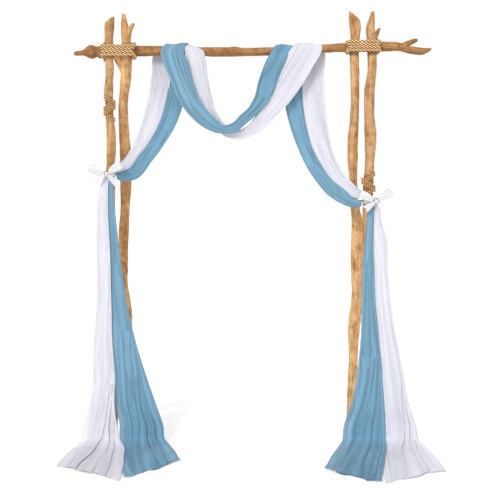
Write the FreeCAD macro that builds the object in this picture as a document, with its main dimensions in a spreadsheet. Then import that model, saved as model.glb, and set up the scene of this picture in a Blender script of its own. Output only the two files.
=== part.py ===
import FreeCAD, Part
import math
import os
import Sketcher
from FreeCAD import Placement, Rotation, Vector

# Draped wedding arch: two pairs of driftwood posts, a driftwood crossbeam lashed
# behind them with rope, and two chiffon panels (white and blue) that hang in three
# swags, are tied to the outer posts with ribbon bows and fall to trains on the floor.
# Millimetres, +Z up, the front looks along -Y, the beam runs along X.

doc = FreeCAD.newDocument("WeddingArch")
sheet = doc.addObject("Spreadsheet::Sheet", "Sizes")

# Driving sizes: name, value, what it is.
DRIVING = [
    ("BeamHeight", 1955, "floor to the beam's axis"),
    ("BeamLength", 1739, "tip to tip of the crossbeam"),
    ("BeamDia", 52, "usual diameter of the crossbeam"),
    ("ArchSpan", 1180, "between the middles of the two post pairs"),
    ("PairGap", 85, "between the axes of a pair at the beam"),
    ("PostDia", 46, "usual diameter of a post"),
    ("FootForward", 100, "outer feet in front of the beam's axis"),
    ("FootBack", 200, "inner feet behind the beam's axis"),
    ("ArchShift", -48.5, "arch middle beside the middle of the footprint"),
    ("BeamSetback", 196.4, "beam's axis behind the middle of the footprint"),
    ("RopeDia", 16, "rope of the beam lashings"),
    ("CordDia", 11, "rope of the post bindings"),
    ("LeftTieHeight", 1364, "height of the left bow"),
    ("RightTieHeight", 1232, "height of the right bow"),
    ("SwagDrop", 376, "beam axis to the lowest fold of the middle swag"),
    ("ClothThick", 18, "gathered cloth in a free swag"),
    ("SaddleThick", 10, "gathered cloth pressed on the beam"),
    ("TrainThick", 16, "cloth lying in folds on the floor"),
    ("TrainReach", 490, "how far a train spreads in front of the tails"),
    ("TrainWidth", 620, "how wide a train spreads"),
    ("LeftBindingTop", 1746, "height of the highest turn on the left outer post"),
    ("BindingRise", 140, "right binding's highest turn above the right bow"),
    ("BundleWidth", 52, "two gathered panels side by side in a tie"),
    ("RibbonWidth", 22, "width of the tie ribbon"),
    ("RibbonThick", 2, "thickness of the tie ribbon"),
    ("Clear", 0.3, "clearance between pieces that rest together"),
]


class Size:
    """A length that keeps both its value and the formula that binds it to the sheet."""

    def __init__(self, text, value):
        self.text = text
        self.value = value

    def __add__(self, other):
        other = size(other)
        return Size(f"({self.text} + {other.text})", self.value + other.value)

    def __sub__(self, other):
        other = size(other)
        return Size(f"({self.text} - {other.text})", self.value - other.value)

    def __mul__(self, other):
        other = size(other)
        return Size(f"({self.text} * {other.text})", self.value * other.value)

    def __truediv__(self, other):
        other = size(other)
        return Size(f"({self.text} / {other.text})", self.value / other.value)

    def __neg__(self):
        return Size(f"(0 - {self.text})", -self.value)

    __radd__ = __add__
    __rmul__ = __mul__

    def __rsub__(self, other):
        return size(other) - self


def size(thing):
    if isinstance(thing, Size):
        return thing
    number = round(float(thing), 4)
    return Size(f"({number})" if number < 0 else f"{number}", number)


def part_way(start, end, share):
    return start + (end - start) * share


S = {}
sheet.set("A1", "Size")
sheet.set("B1", "mm")
sheet.set("C1", "What it is")
for row, (name, value, note) in enumerate(DRIVING, start=2):
    sheet.set(f"A{row}", name)
    sheet.set(f"B{row}", str(value))
    sheet.set(f"C{row}", note)
    sheet.setAlias(f"B{row}", name)
    S[name] = Size(f"Sizes.{name}", float(value))
doc.recompute()

NODES = []


def keep(obj, node):
    """Name a finished piece and remember it for the export."""
    obj.Label = node
    NODES.append((node, obj))
    return obj


def bind(obj, prop, length):
    obj.setExpression(prop, size(length).text)


def place(obj, point, prop="Placement"):
    """Bind the base of a placement to three lengths."""
    for axis, length in zip("xyz", point):
        bind(obj, f"{prop}.Base.{axis}", length)


# Places that several pieces share.
ArchX = S["ArchShift"]
BeamY = S["BeamSetback"]
BeamZ = S["BeamHeight"]
LeftPair = ArchX - S["ArchSpan"] / 2
RightPair = ArchX + S["ArchSpan"] / 2


# Driftwood: a body lofted through many-sided sections, straight from one to the next.
def plane_of(body, role):
    return next(f for f in body.Origin.OriginFeatures if f.Role == role)


def log_section(body, name, role, centre, dia, turn=None, sides=12):
    """A many-sided outline on one of the body's planes, its corners on a circle of the
    given diameter; centre is (right, up, out of plane)."""
    sketch = body.newObject("Sketcher::SketchObject", name)
    sketch.AttachmentSupport = (plane_of(body, role), [""])
    sketch.MapMode = "FlatFace"
    sketch.AttachmentOffset = Placement(Vector(), turn or Rotation())
    place(sketch, centre, "AttachmentOffset")
    radius = size(dia).value / 2
    angles = [2 * math.pi * k / sides for k in range(sides)]
    corners = [Vector(radius * math.cos(a), radius * math.sin(a), 0) for a in angles]
    for k in range(sides):
        sketch.addGeometry(Part.LineSegment(corners[k], corners[(k + 1) % sides]), False)
    circle = sketch.addGeometry(Part.Circle(Vector(), Vector(0, 0, 1), radius), True)
    sketch.addConstraint(Sketcher.Constraint("Coincident", circle, 3, -1, 1))
    for k in range(sides):
        sketch.addConstraint(Sketcher.Constraint("Coincident", k, 2, (k + 1) % sides, 1))
        sketch.addConstraint(Sketcher.Constraint("PointOnObject", k, 1, circle))
    for k in range(1, sides):
        sketch.addConstraint(Sketcher.Constraint("Equal", 0, k))
    sketch.addConstraint(Sketcher.Constraint("PointOnObject", 0, 1, -1))
    index = sketch.addConstraint(Sketcher.Constraint("Diameter", circle, size(dia).value))
    bind(sketch, f"Constraints[{index}]", dia)
    return sketch


def loft_through(body, name, sections):
    loft = body.newObject("PartDesign::AdditiveLoft", name)
    loft.Profile = sections[0]
    loft.Sections = sections[1:]
    loft.Ruled = True
    body.Tip = loft
    return loft


def post(node, cross_x, cross_y, foot_y, stations, cut, branches):
    """An upright log. Stations are (height share of the beam height, side offset from
    the crossing, diameter share of PostDia). The last one is the broken top, turned by
    cut degrees about Y. Each branch is a list of stations of its own."""
    body = doc.addObject("PartDesign::Body", node)

    def section(tag, share, aside, thick, tilt=0.0, sides=12):
        centre = (cross_x + aside, part_way(foot_y, cross_y, share), BeamZ * share)
        turn = Rotation(Vector(0, 1, 0), tilt)
        return log_section(body, f"{node}_{tag}", "XY_Plane", centre, S["PostDia"] * thick, turn, sides)

    top = len(stations) - 1
    stem = [section(f"ring{i}", *row, tilt=cut if i == top else 0.0) for i, row in enumerate(stations)]
    loft_through(body, f"{node}_stem", stem)
    for b, rows in enumerate(branches):
        rings = [section(f"branch{b}_ring{i}", *row, sides=8) for i, row in enumerate(rows)]
        loft_through(body, f"{node}_branch{b}", rings)
    return keep(body, node)


def crossing_y(post_share, beam_share, foot=0, up=0):
    """In front of the beam by half of both diameters and the clearance. A post that leans
    back to its foot meets a beam that lies higher by up a little further back."""
    lean = (size(foot) + 50) * up / BeamZ
    return BeamY - S["PostDia"] * post_share / 2 - S["BeamDia"] * beam_share / 2 - S["Clear"] * 2 + lean


OuterFoot = BeamY - S["FootForward"]
InnerFoot = BeamY + S["FootBack"]
LeftOuterX = LeftPair - S["PairGap"] / 2
LeftInnerX = LeftPair + S["PairGap"] / 2
RightInnerX = RightPair - S["PairGap"] / 2
RightOuterX = RightPair + S["PairGap"] / 2
LeftOuterY = crossing_y(0.85, 1.19)
LeftInnerY = crossing_y(1.05, 1.09)
RightInnerY = crossing_y(0.98, 0.83, S["FootBack"], 18)
RightOuterY = crossing_y(0.98, 0.89)

post("left_outer_post", LeftOuterX, LeftOuterY, OuterFoot, [
    (0.000, -22, 1.00), (0.180, -16, 1.06), (0.400, -11, 0.95), (0.640, -9, 0.96),
    (0.707, -6, 0.85), (0.778, 2, 1.02), (0.840, -4, 0.85), (0.905, -5, 0.82),
    (0.955, 0, 0.81), (1.000, 0, 0.85), (1.035, 1, 0.87), (1.058, 5, 0.98), (1.073, 8, 0.86),
], -34, [])
post("left_inner_post", LeftInnerX, LeftInnerY, InnerFoot, [
    (0.000, -53, 1.09), (0.150, -55, 1.13), (0.300, -59, 1.16), (0.340, -58, 1.18),
    (0.385, -63, 0.90), (0.480, -58, 0.88), (0.530, -56, 1.16), (0.600, -43, 1.06),
    (0.705, -29, 1.19), (0.810, -29, 1.02), (0.880, -26, 0.93), (0.925, -12, 1.03),
    (0.970, -1, 1.04), (1.000, 0, 1.05), (1.035, -2, 0.93), (1.060, -6, 0.74), (1.084, -7, 0.36),
], 12, [
    [(0.885, -24, 0.66), (0.915, -28, 0.80), (0.945, -36, 0.84), (0.975, -41, 0.82), (0.998, -42, 0.78),
     (1.016, -42, 0.60)],
    [(1.035, 0, 0.62), (1.050, 17, 0.48), (1.066, 36, 0.28)],
])
post("right_inner_post", RightInnerX, RightInnerY, InnerFoot, [
    (0.000, 50, 1.00), (0.120, 51, 1.06), (0.200, 53, 1.10), (0.265, 49, 1.38),
    (0.365, 57, 1.17), (0.490, 49, 1.30), (0.575, 44, 1.18), (0.620, 26, 0.93),
    (0.690, 17, 0.91), (0.765, 8, 1.14), (0.850, 13, 0.92), (0.935, 7, 0.93),
    (1.000, 0, 0.98), (1.030, 2, 0.92), (1.055, 0, 1.15), (1.080, -5, 1.12),
], 38, [])
post("right_outer_post", RightOuterX, RightOuterY, OuterFoot, [
    (0.000, 5, 1.04), (0.200, 1, 1.08), (0.410, -4, 1.12), (0.600, -8, 1.06),
    (0.670, -5, 1.14), (0.720, -2, 1.00), (0.790, 0, 1.18), (0.850, -8, 1.08),
    (0.905, -8, 1.00), (0.950, 2, 0.89), (1.000, 0, 0.93), (1.030, -3, 1.03),
    (1.055, -9, 0.86), (1.072, -4, 0.64), (1.092, 1, 0.34),
], -10, [
    [(1.020, 2, 0.60), (1.035, 18, 0.44), (1.052, 33, 0.24)],
])


def beam(node):
    """The crossbeam. Stations are (share of BeamLength from the arch middle, height
    offset, diameter share of BeamDia); its right end is a fork with two prongs."""
    body = doc.addObject("PartDesign::Body", node)

    def ring(tag, share, up, thick, sides=12):
        centre = (BeamY, BeamZ + up, ArchX + S["BeamLength"] * share)
        return log_section(body, f"{node}_{tag}", "YZ_Plane", centre, S["BeamDia"] * thick, None, sides)

    stem = [
        (-0.4670, -4, 0.27), (-0.4500, -1, 0.60), (-0.4320, -5, 1.00), (-0.4160, -8, 1.42),
        (-0.4010, -7, 1.35), (-0.3680, -5, 1.20), (-0.3380, -4, 1.13), (-0.2820, 0, 1.00),
        (-0.1840, 0, 0.85), (-0.0440, -5, 0.83), (0.0760, -2, 0.75), (0.1660, 5, 0.73),
        (0.2360, 12, 0.71), (0.2780, 15, 0.77), (0.3480, 18, 0.87), (0.4040, 21, 0.93),
        (0.4380, 21, 0.85), (0.4620, 16, 0.71),
    ]
    loft_through(body, f"{node}_stem", [ring(f"ring{i}", *row) for i, row in enumerate(stem)])
    prongs = [
        [(0.4500, 24, 0.50), (0.4700, 36, 0.50), (0.4940, 52, 0.22)],
        [(0.4500, 12, 0.62), (0.4800, 4, 0.66), (0.5100, -2, 0.60), (0.5330, 8, 0.22)],
    ]
    for p, rows in enumerate(prongs):
        loft_through(body, f"{node}_prong{p}", [ring(f"prong{p}_ring{i}", *r, sides=8) for i, r in enumerate(rows)])
    return keep(body, node)


beam("crossbeam")


# Rope: a six-sided section carried along a route of short straight runs.
def rounded_route(corners, radii, step=30):
    """The corners' route with each inner corner rounded by its radius: points of straight
    runs that touch the arc and turn by about step degrees at a time."""
    points = [corners[0]]
    for before, corner, after, radius in zip(corners, corners[1:], corners[2:], radii):
        back = (before - corner).normalize()
        ahead = (after - corner).normalize()
        half = back.getAngle(ahead) / 2
        centre = corner + (back + ahead).normalize() * (radius / math.sin(half))
        arm = corner + back * (radius / math.tan(half)) - centre
        axis = ahead.cross(back).normalize()
        bend = math.degrees(math.pi - 2 * half)
        runs = max(1, round(bend / step))
        arm = arm * (1 / math.cos(math.radians(bend / runs / 2)))
        for k in range(runs):
            points.append(centre + Rotation(axis, bend * (k + 0.5) / runs).multVec(arm))
    return points + [corners[-1]]


def rope(name, points, dia):
    """Six-sided straight runs joined by mitres: the section at each corner lies in the
    plane that halves the bend, so every side face is flat."""
    radius = size(dia).value / 2
    along = (points[1] - points[0]).normalize()
    turn = Rotation(Vector(0, 0, 1), along)
    angles = [math.pi / 3 * k for k in range(6)]
    ring = [points[0] + turn.multVec(Vector(math.cos(a), math.sin(a), 0) * radius) for a in angles]
    rings = [ring]
    for i in range(1, len(points)):
        along = (points[i] - points[i - 1]).normalize()
        ahead = (points[i + 1] - points[i]).normalize() if i + 1 < len(points) else along
        normal = (along + ahead).normalize()
        ring = [p + along * ((points[i] - p).dot(normal) / along.dot(normal)) for p in ring]
        rings.append(ring)
    loops = [rings[0], rings[-1]]
    for low, high in zip(rings, rings[1:]):
        loops += [[low[k], low[(k + 1) % 6], high[(k + 1) % 6], high[k]] for k in range(6)]
    faces = [Part.Face(Part.makePolygon(loop + loop[:1])) for loop in loops]
    solid = Part.Solid(Part.Shell(faces))
    if solid.Volume < 0:
        solid.reverse()
    feature = doc.addObject("Part::Feature", name)
    feature.Shape = solid
    return feature


def lashing_turn(name, left, right, front_y, order):
    """One turn of a square lashing: across the front of both posts above the beam's axis,
    back over the beam, down behind it, forward below it, across the front again and back
    up behind the beam, where its ends meet. left and right are (x, beam axis height, beam
    radius) where the rope goes back beside the posts. order 0 is the inner turn."""
    dia = S["RopeDia"]
    pitch = dia * 1.05
    rise = (pitch * (order + 0.5)).value
    out = (dia / 2 + S["Clear"] + pitch * order).value
    bend = dia.value * 0.75
    front = front_y.value
    y = BeamY.value
    seam = 0.4

    def side(post_x, beam_z, beam_r, way):
        """Corners from the upper front round the back of the beam to the lower front."""
        x, z = post_x.value + way * out, beam_z.value
        wrap = (beam_r + dia / 2 + S["Clear"]).value
        spots = [(front, z_mid + rise), (y - 10, z + wrap), (y + wrap, z + wrap),
                 (y + wrap, z - wrap), (y - 10, z - wrap), (front, z_mid - rise)]
        return [Vector(x, *spot) for spot in spots], [bend, 30, wrap - 0.6, wrap - 0.6, 30, bend]

    z_mid = ((left[1] + right[1]) / 2).value
    left_side, left_bends = side(*left, -1)
    right_side, right_bends = side(*right, 1)
    behind = (right_side[2] + right_side[3]) / 2
    corners = ([behind + Vector(0, 0, seam)] + right_side[2::-1] + left_side
               + right_side[:2:-1] + [behind - Vector(0, 0, seam)])
    bends = right_bends[2::-1] + left_bends + right_bends[:2:-1]
    return rope(name, rounded_route(corners, bends), dia)


def group(node, pieces):
    """Several solids of one kind that do not touch, in one node."""
    compound = doc.addObject("Part::Compound", node)
    compound.Links = pieces
    return keep(compound, node)


def beam_lashing(node, left, right, front_y):
    """Two turns; left and right are (post x, diameter share, way the beam lies there)."""
    sides = []
    for (x, thick, up, beam_share), way in ((left, -1), (right, 1)):
        sides.append((x + S["PostDia"] * thick / 2 * way, BeamZ + up, S["BeamDia"] * beam_share / 2))
    group(node, [lashing_turn(f"{node}_turn{k}", *sides, front_y, k) for k in range(2)])


def lashing_front(foot_y, cross_y, thick):
    """In front of a leaning post where the top strand crosses it."""
    top = (BeamZ + S["RopeDia"] * 1.6) / BeamZ
    return part_way(foot_y, cross_y, top) - S["PostDia"] * thick / 2 - S["RopeDia"] / 2 - S["Clear"]


beam_lashing("left_beam_lashing", (LeftOuterX, 0.90, -6, 1.37), (LeftInnerX, 1.03, -1, 1.08),
             lashing_front(InnerFoot, LeftInnerY, 1.06))
beam_lashing("right_beam_lashing", (RightInnerX, 1.00, 16, 0.80), (RightOuterX, 1.04, 20.3, 0.96),
             lashing_front(InnerFoot, RightInnerY, 1.03))


def post_binding(node, cross_x, aside, cross_y, top, thick, lean, groups):
    """One cord wound round an outer post from the height top downwards. Its turns lie in
    groups, each group leaning the other way, and the lean changes over one turn."""
    pitch = S["CordDia"] * 1.06
    steps = 10
    radius = (S["PostDia"] * thick / 2 + S["CordDia"] / 2 + S["Clear"]) / math.cos(math.pi / steps)
    slope = math.tan(math.radians(lean))
    leans = []
    for order, count in enumerate(groups):
        leans += [slope * (-1) ** order] * (count * steps)
    points = []
    drop = 0.0
    for i, target in enumerate(leans):
        window = leans[max(0, i - steps // 2):i + steps // 2]
        tilt = sum(window) / len(window)
        turn = 2 * math.pi * i / steps
        height = (top - drop).value
        foot = part_way(OuterFoot, cross_y, size(height) / BeamZ).value
        x = -math.cos(turn) * radius.value
        points.append(Vector((cross_x + aside).value + x, foot - math.sin(turn) * radius.value,
                             height + x * tilt))
        widen = abs(leans[min(i + steps // 2, len(leans) - 1)] - leans[max(0, i - steps // 2)])
        drop += (pitch / steps).value + widen * radius.value / steps
    return keep(rope(node, points, S["CordDia"]), node)


post_binding("left_post_binding", LeftOuterX, -4, LeftOuterY, S["LeftBindingTop"], 0.90, -14, (2, 4, 2))
post_binding("right_post_binding", RightOuterX, -5, RightOuterY, S["RightTieHeight"] + S["BindingRise"],
             1.16, 14, (2, 3, 2))


# Cloth: flat six-sided sections lofted along the hanging line of a gathered band.
def band_section(name, centre, across, along, width, thick):
    """across is the direction of the width, along the direction the cloth runs. The two
    ends of the section are bevelled to a ridge."""
    sketch = doc.addObject("Sketcher::SketchObject", name)
    x = Vector(across).normalize()
    z = (along - x * along.dot(x)).normalize()
    sketch.Placement = Placement(Vector(), Rotation(x, z.cross(x), z, "ZXY"))
    place(sketch, centre)
    half_w = size(width) / 2
    half_t = size(thick) / 2
    flat = half_w - half_t
    w, t, f = half_w.value, half_t.value, flat.value
    corners = [(w, 0), (f, t), (-f, t), (-w, 0), (-f, -t), (f, -t)]
    for k in range(6):
        sketch.addGeometry(Part.LineSegment(Vector(*corners[k], 0), Vector(*corners[(k + 1) % 6], 0)), False)
    for k in range(6):
        sketch.addConstraint(Sketcher.Constraint("Coincident", k, 2, (k + 1) % 6, 1))
    sketch.addConstraint(Sketcher.Constraint("PointOnObject", 0, 1, -1))
    for one, other in ((0, 3),):
        sketch.addConstraint(Sketcher.Constraint("Symmetric", one, 1, other, 1, -1, 1))
    sketch.addConstraint(Sketcher.Constraint("Symmetric", 1, 1, 2, 1, -2))
    sketch.addConstraint(Sketcher.Constraint("Symmetric", 1, 1, 5, 1, -1))
    sketch.addConstraint(Sketcher.Constraint("Symmetric", 1, 1, 4, 1, -1, 1))
    for kind, spot, length in (("DistanceX", 0, half_w), ("DistanceX", 1, flat), ("DistanceY", 1, half_t)):
        index = sketch.addConstraint(Sketcher.Constraint(kind, -1, 1, spot, 1, length.value))
        bind(sketch, f"Constraints[{index}]", length)
    return sketch


def hanging_cloth(node, stations):
    """Stations are (x, y, z, width, thickness, width angle from +X in the XZ plane); one
    that meets another piece squarely ends with the direction the cloth runs there."""
    spots = [Vector(*(size(c).value for c in row[:3])) for row in stations]
    sections = []
    for i, (x, y, z, width, thick, angle, *square) in enumerate(stations):
        along = square[0] if square else spots[min(i + 1, len(spots) - 1)] - spots[max(i - 1, 0)]
        across = Vector(math.cos(math.radians(angle)), 0, math.sin(math.radians(angle)))
        sections.append(band_section(f"{node}_fold{i}", (x, y, z), across, along, width, thick))
    loft = doc.addObject("Part::Loft", node)
    loft.Sections = sections
    loft.Solid = True
    loft.Ruled = True
    return keep(loft, node)


def over_beam(x_side, x_top, up, beam_share, layer, widths, way):
    """A band from the beam's top down one side of it: way 1 to the back, -1 to the front.
    x_side and x_top are the band's middle there. layer 1 lies over a band already there.
    The corners stand out, so that the runs between them just clear the beam."""
    thick = S["SaddleThick"]
    step = 30
    radius = S["BeamDia"] * beam_share / 2 + S["Clear"] * (1 + layer) + thick * (layer + 0.5)
    corner = radius / math.cos(math.radians(step / 2))
    rows = []
    for angle in (0, step, 2 * step, 3 * step):
        x = part_way(x_top, x_side, angle / 90)
        width = widths[0] + (widths[1] - widths[0]) * angle / 90
        y = BeamY + corner * math.sin(math.radians(angle)) * way
        z = BeamZ + up + corner * math.cos(math.radians(angle))
        rows.append([x, y, z, width, thick, 0])
    rows[0][1] = BeamY + S["Clear"] * way
    rows[0].append(Vector(0, way, 0))
    return rows


def turned(rows):
    """The same stations run the other way, from the side of the beam up to its top."""
    return [row[:5] + [row[5]] + [-square for square in row[6:]] for row in reversed(rows)]


LeftCrest = ArchX - S["ArchSpan"] * 0.2420
RightCrest = ArchX + S["ArchSpan"] * 0.2330
LeftTieX = LeftOuterX - 6
RightTieX = RightOuterX + 7.5
LeftTieY = part_way(OuterFoot, LeftOuterY, 0.70) - S["PostDia"] * 0.43 - S["Clear"]
RightTieY = part_way(OuterFoot, RightOuterY, 0.63) - S["PostDia"] * 0.56 - S["Clear"]


def side_rows(tie_x, crest, tie_z, rows):
    """Free stations of a side swag: (share from the tie to the crest, share of the rise
    from the tie to the beam, distance behind the beam axis, width, angle)."""
    return [(part_way(tie_x, crest, s), BeamY + y, part_way(tie_z, BeamZ, t), w, S["ClothThick"], a)
            for s, t, y, w, a in rows]


hanging_cloth("left_white_swag", side_rows(LeftTieX, LeftCrest, S["LeftTieHeight"], [
    (0.090, 0.036, -96, 34, -76), (0.141, 0.047, -86, 40, -77), (0.225, 0.070, -72, 50, -64),
    (0.347, 0.163, -45, 51, -40), (0.450, 0.278, -20, 62, -13), (0.560, 0.442, 0, 80, -10),
    (0.630, 0.616, 16, 86, -3), (0.688, 0.800, 28, 86, 0),
]) + turned(over_beam(LeftCrest - 90, LeftCrest - 14, 0, 0.93, 0, (84, 84), 1)))
hanging_cloth("left_blue_swag", side_rows(LeftTieX, LeftCrest, S["LeftTieHeight"], [
    (0.098, -0.022, -97, 30, -80), (0.166, -0.024, -86, 42, -79), (0.306, -0.013, -72, 50, -64),
    (0.488, 0.113, -45, 56, -23), (0.638, 0.253, -20, 66, -12), (0.790, 0.418, 0, 76, -11),
    (0.889, 0.607, 16, 84, -3), (0.946, 0.790, 36, 84, 0),
]) + turned(over_beam(LeftCrest + 4, LeftCrest - 22, 0, 0.93, 1, (90, 82), 1)))
hanging_cloth("right_white_swag", side_rows(RightTieX, RightCrest, S["RightTieHeight"], [
    (0.124, 0.042, -111, 34, 76), (0.200, 0.052, -100, 42, 66), (0.322, 0.094, -76, 50, 38),
    (0.446, 0.152, -46, 72, 14), (0.586, 0.276, -20, 72, 11), (0.696, 0.443, 0, 96, 3),
    (0.760, 0.642, 16, 106, 0), (0.772, 0.820, 28, 104, 0),
]) + turned(over_beam(RightCrest + 86, RightCrest + 60, 8, 0.82, 0, (118, 102), 1)))
hanging_cloth("right_blue_swag", side_rows(RightTieX, RightCrest, S["RightTieHeight"], [
    (0.136, -0.016, -111, 32, 76), (0.210, -0.018, -102, 40, 60), (0.445, 0.034, -76, 58, 36),
    (0.634, 0.129, -46, 60, 10), (0.786, 0.253, -20, 64, 12), (0.938, 0.433, 0, 70, 8),
    (1.030, 0.632, 16, 84, 6), (1.046, 0.810, 28, 90, 0),
]) + turned(over_beam(RightCrest - 24, RightCrest - 57, 3, 0.80, 0, (88, 96), 1)))


def middle_rows(rows):
    """Free stations of the middle swag: (share between the crests, share of the drop,
    distance in front of the beam axis, width, angle)."""
    return [(part_way(LeftCrest, RightCrest, s), BeamY - y, BeamZ - S["SwagDrop"] * t, w, S["ClothThick"], a)
            for s, t, y, w, a in rows]


def half_turn(rows):
    return [row[:5] + [180] + row[6:] for row in rows]


hanging_cloth("middle_blue_swag",
              over_beam(LeftCrest - 44, LeftCrest - 22, 0, 0.93, 1, (96, 108), -1) + middle_rows([
                  (-0.057, 0.120, 42, 112, 0), (-0.007, 0.362, 41, 100, 0), (0.065, 0.636, 41, 88, 9),
                  (0.138, 0.787, 42, 80, 23), (0.212, 0.891, 44, 72, 34), (0.281, 0.965, 45, 54, 51),
                  (0.346, 1.000, 45, 38, 90), (0.455, 0.979, 45, 44, 108), (0.525, 0.883, 43, 44, 122),
                  (0.617, 0.761, 41, 46, 148), (0.686, 0.614, 39, 62, 172), (0.742, 0.367, 37, 76, 177),
                  (0.810, 0.120, 36, 78, 180)])
              + half_turn(turned(over_beam(RightCrest - 83, RightCrest - 57, 3, 0.80, 0, (80, 80), -1))))
hanging_cloth("middle_white_swag",
              over_beam(LeftCrest + 60, LeftCrest - 14, 0, 0.93, 0, (84, 88), -1) + middle_rows([
                  (0.125, 0.120, 34, 84, 0), (0.152, 0.360, 27, 76, 0), (0.204, 0.620, 16, 64, -4),
                  (0.251, 0.787, 12, 50, 6), (0.310, 0.915, 10, 42, 20), (0.371, 1.027, 12, 42, 45),
                  (0.476, 1.077, 17, 42, 76), (0.586, 1.027, 20, 52, 117), (0.691, 0.883, 24, 72, 123),
                  (0.804, 0.697, 28, 78, 140), (0.908, 0.449, 31, 108, 151), (1.010, 0.180, 33, 134, 169)])
              + half_turn(turned(over_beam(RightCrest + 43, RightCrest + 56, 10, 0.82, 0, (136, 156), -1))))


def tail(node, tie_x, post_y, reach, tie_z, rows):
    """A tail that hangs in front of an outer post: (share of the height above the train,
    offset beside the tie, width, thickness), top to bottom. reach is the diameter share
    of the post behind it."""
    bottom = S["TrainThick"] + S["Clear"]
    down = Vector(0, 0, -1)
    stations = []
    for i, (t, x, width, thick) in enumerate(rows):
        z = part_way(bottom, tie_z, t)
        front = part_way(OuterFoot, post_y, z / BeamZ) - S["PostDia"] * reach / 2 - S["Clear"]
        station = (tie_x + x, front - size(thick) / 2, z, width, thick, 0)
        stations.append(station + (down,) if i in (0, 1, len(rows) - 1) else station)
    hanging_cloth(node, stations)


Bundle = S["BundleWidth"] / 2
tail("left_white_tail", LeftTieX, LeftOuterY, 1.10, S["LeftTieHeight"], [
    (1.006, -Bundle / 2, Bundle - 1, 22), (0.988, -Bundle / 2, Bundle - 1, 22),
    (0.968, -21, 29, 22), (0.920, -33, 42, 22), (0.795, -39, 58, 22), (0.690, -40, 66, 22),
    (0.540, -41, 70, 24), (0.390, -50, 88, 26), (0.240, -52, 110, 28), (0.135, -63, 132, 30),
    (0.055, -73, 172, 32), (0.000, -84, 216, 34)])
tail("left_blue_tail", LeftTieX, LeftOuterY, 1.10, S["LeftTieHeight"], [
    (1.006, Bundle / 2, Bundle - 1, 22), (0.988, Bundle / 2, Bundle - 1, 22),
    (0.968, 8, 22, 20), (0.920, 5, 28, 20), (0.795, 12, 38, 20), (0.690, 21, 49, 22),
    (0.540, 33, 73, 24), (0.390, 56, 110, 26), (0.240, 87, 153, 28), (0.135, 110, 198, 30),
    (0.055, 136, 224, 32), (0.000, 158, 256, 34)])
tail("right_blue_tail", RightTieX, RightOuterY, 1.30, S["RightTieHeight"], [
    (1.004, -3, 25, 22), (0.986, -3, 25, 22), (0.970, -4, 26, 22), (0.935, -5, 27, 20),
    (0.840, -10, 35, 20), (0.720, -11, 52, 22), (0.595, -7, 60, 24), (0.450, 1, 83, 26),
    (0.280, 5, 122, 28), (0.150, -2, 163, 30), (0.055, -15, 214, 32), (0.000, -30, 250, 34)])
tail("right_white_tail", RightTieX, RightOuterY, 1.30, S["RightTieHeight"], [
    (1.004, 24, 25, 22), (0.986, 24, 25, 22), (0.970, 25, 26, 22), (0.935, 27, 32, 22),
    (0.840, 43, 66, 22), (0.720, 51, 67, 22), (0.595, 63, 75, 24), (0.450, 88, 86, 26),
    (0.280, 121, 102, 28), (0.150, 145, 124, 30), (0.055, 169, 148, 32), (0.000, 185, 174, 34)])


def outline_pad(name, lengths, thick, centre=(0, 0, 0), turn=None):
    """A flat outline of straight edges on the floor plane, or on that plane moved to centre
    and turned, made thick. Every corner is held by its two distances."""
    body = doc.addObject("PartDesign::Body", name)
    sketch = body.newObject("Sketcher::SketchObject", name + "_outline")
    sketch.AttachmentSupport = (plane_of(body, "XY_Plane"), [""])
    sketch.MapMode = "FlatFace"
    sketch.AttachmentOffset = Placement(Vector(), turn or Rotation())
    place(sketch, centre, "AttachmentOffset")
    lengths = [(size(x), size(y)) for x, y in lengths]
    points = [Vector(x.value, y.value, 0) for x, y in lengths]
    count = len(points)
    for i in range(count):
        sketch.addGeometry(Part.LineSegment(points[i], points[(i + 1) % count]), False)
    for i in range(count):
        sketch.addConstraint(Sketcher.Constraint("Coincident", i, 2, (i + 1) % count, 1))
    for i, (x, y) in enumerate(lengths):
        for kind, length in (("DistanceX", x), ("DistanceY", y)):
            index = sketch.addConstraint(Sketcher.Constraint(kind, -1, 1, i, 1, length.value))
            bind(sketch, f"Constraints[{index}]", length)
    pad = body.newObject("PartDesign::Pad", name + "_spread")
    pad.Profile = sketch
    bind(pad, "Length", thick)
    body.Tip = pad
    return body


def floor_spot(pair_x, across, forward):
    """A place on the floor: shares of TrainWidth beside the pair and of TrainReach in
    front of where the tails come down."""
    back = OuterFoot - S["PostDia"] * 0.6
    return pair_x + S["TrainWidth"] * across, back - S["TrainReach"] * forward


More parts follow.
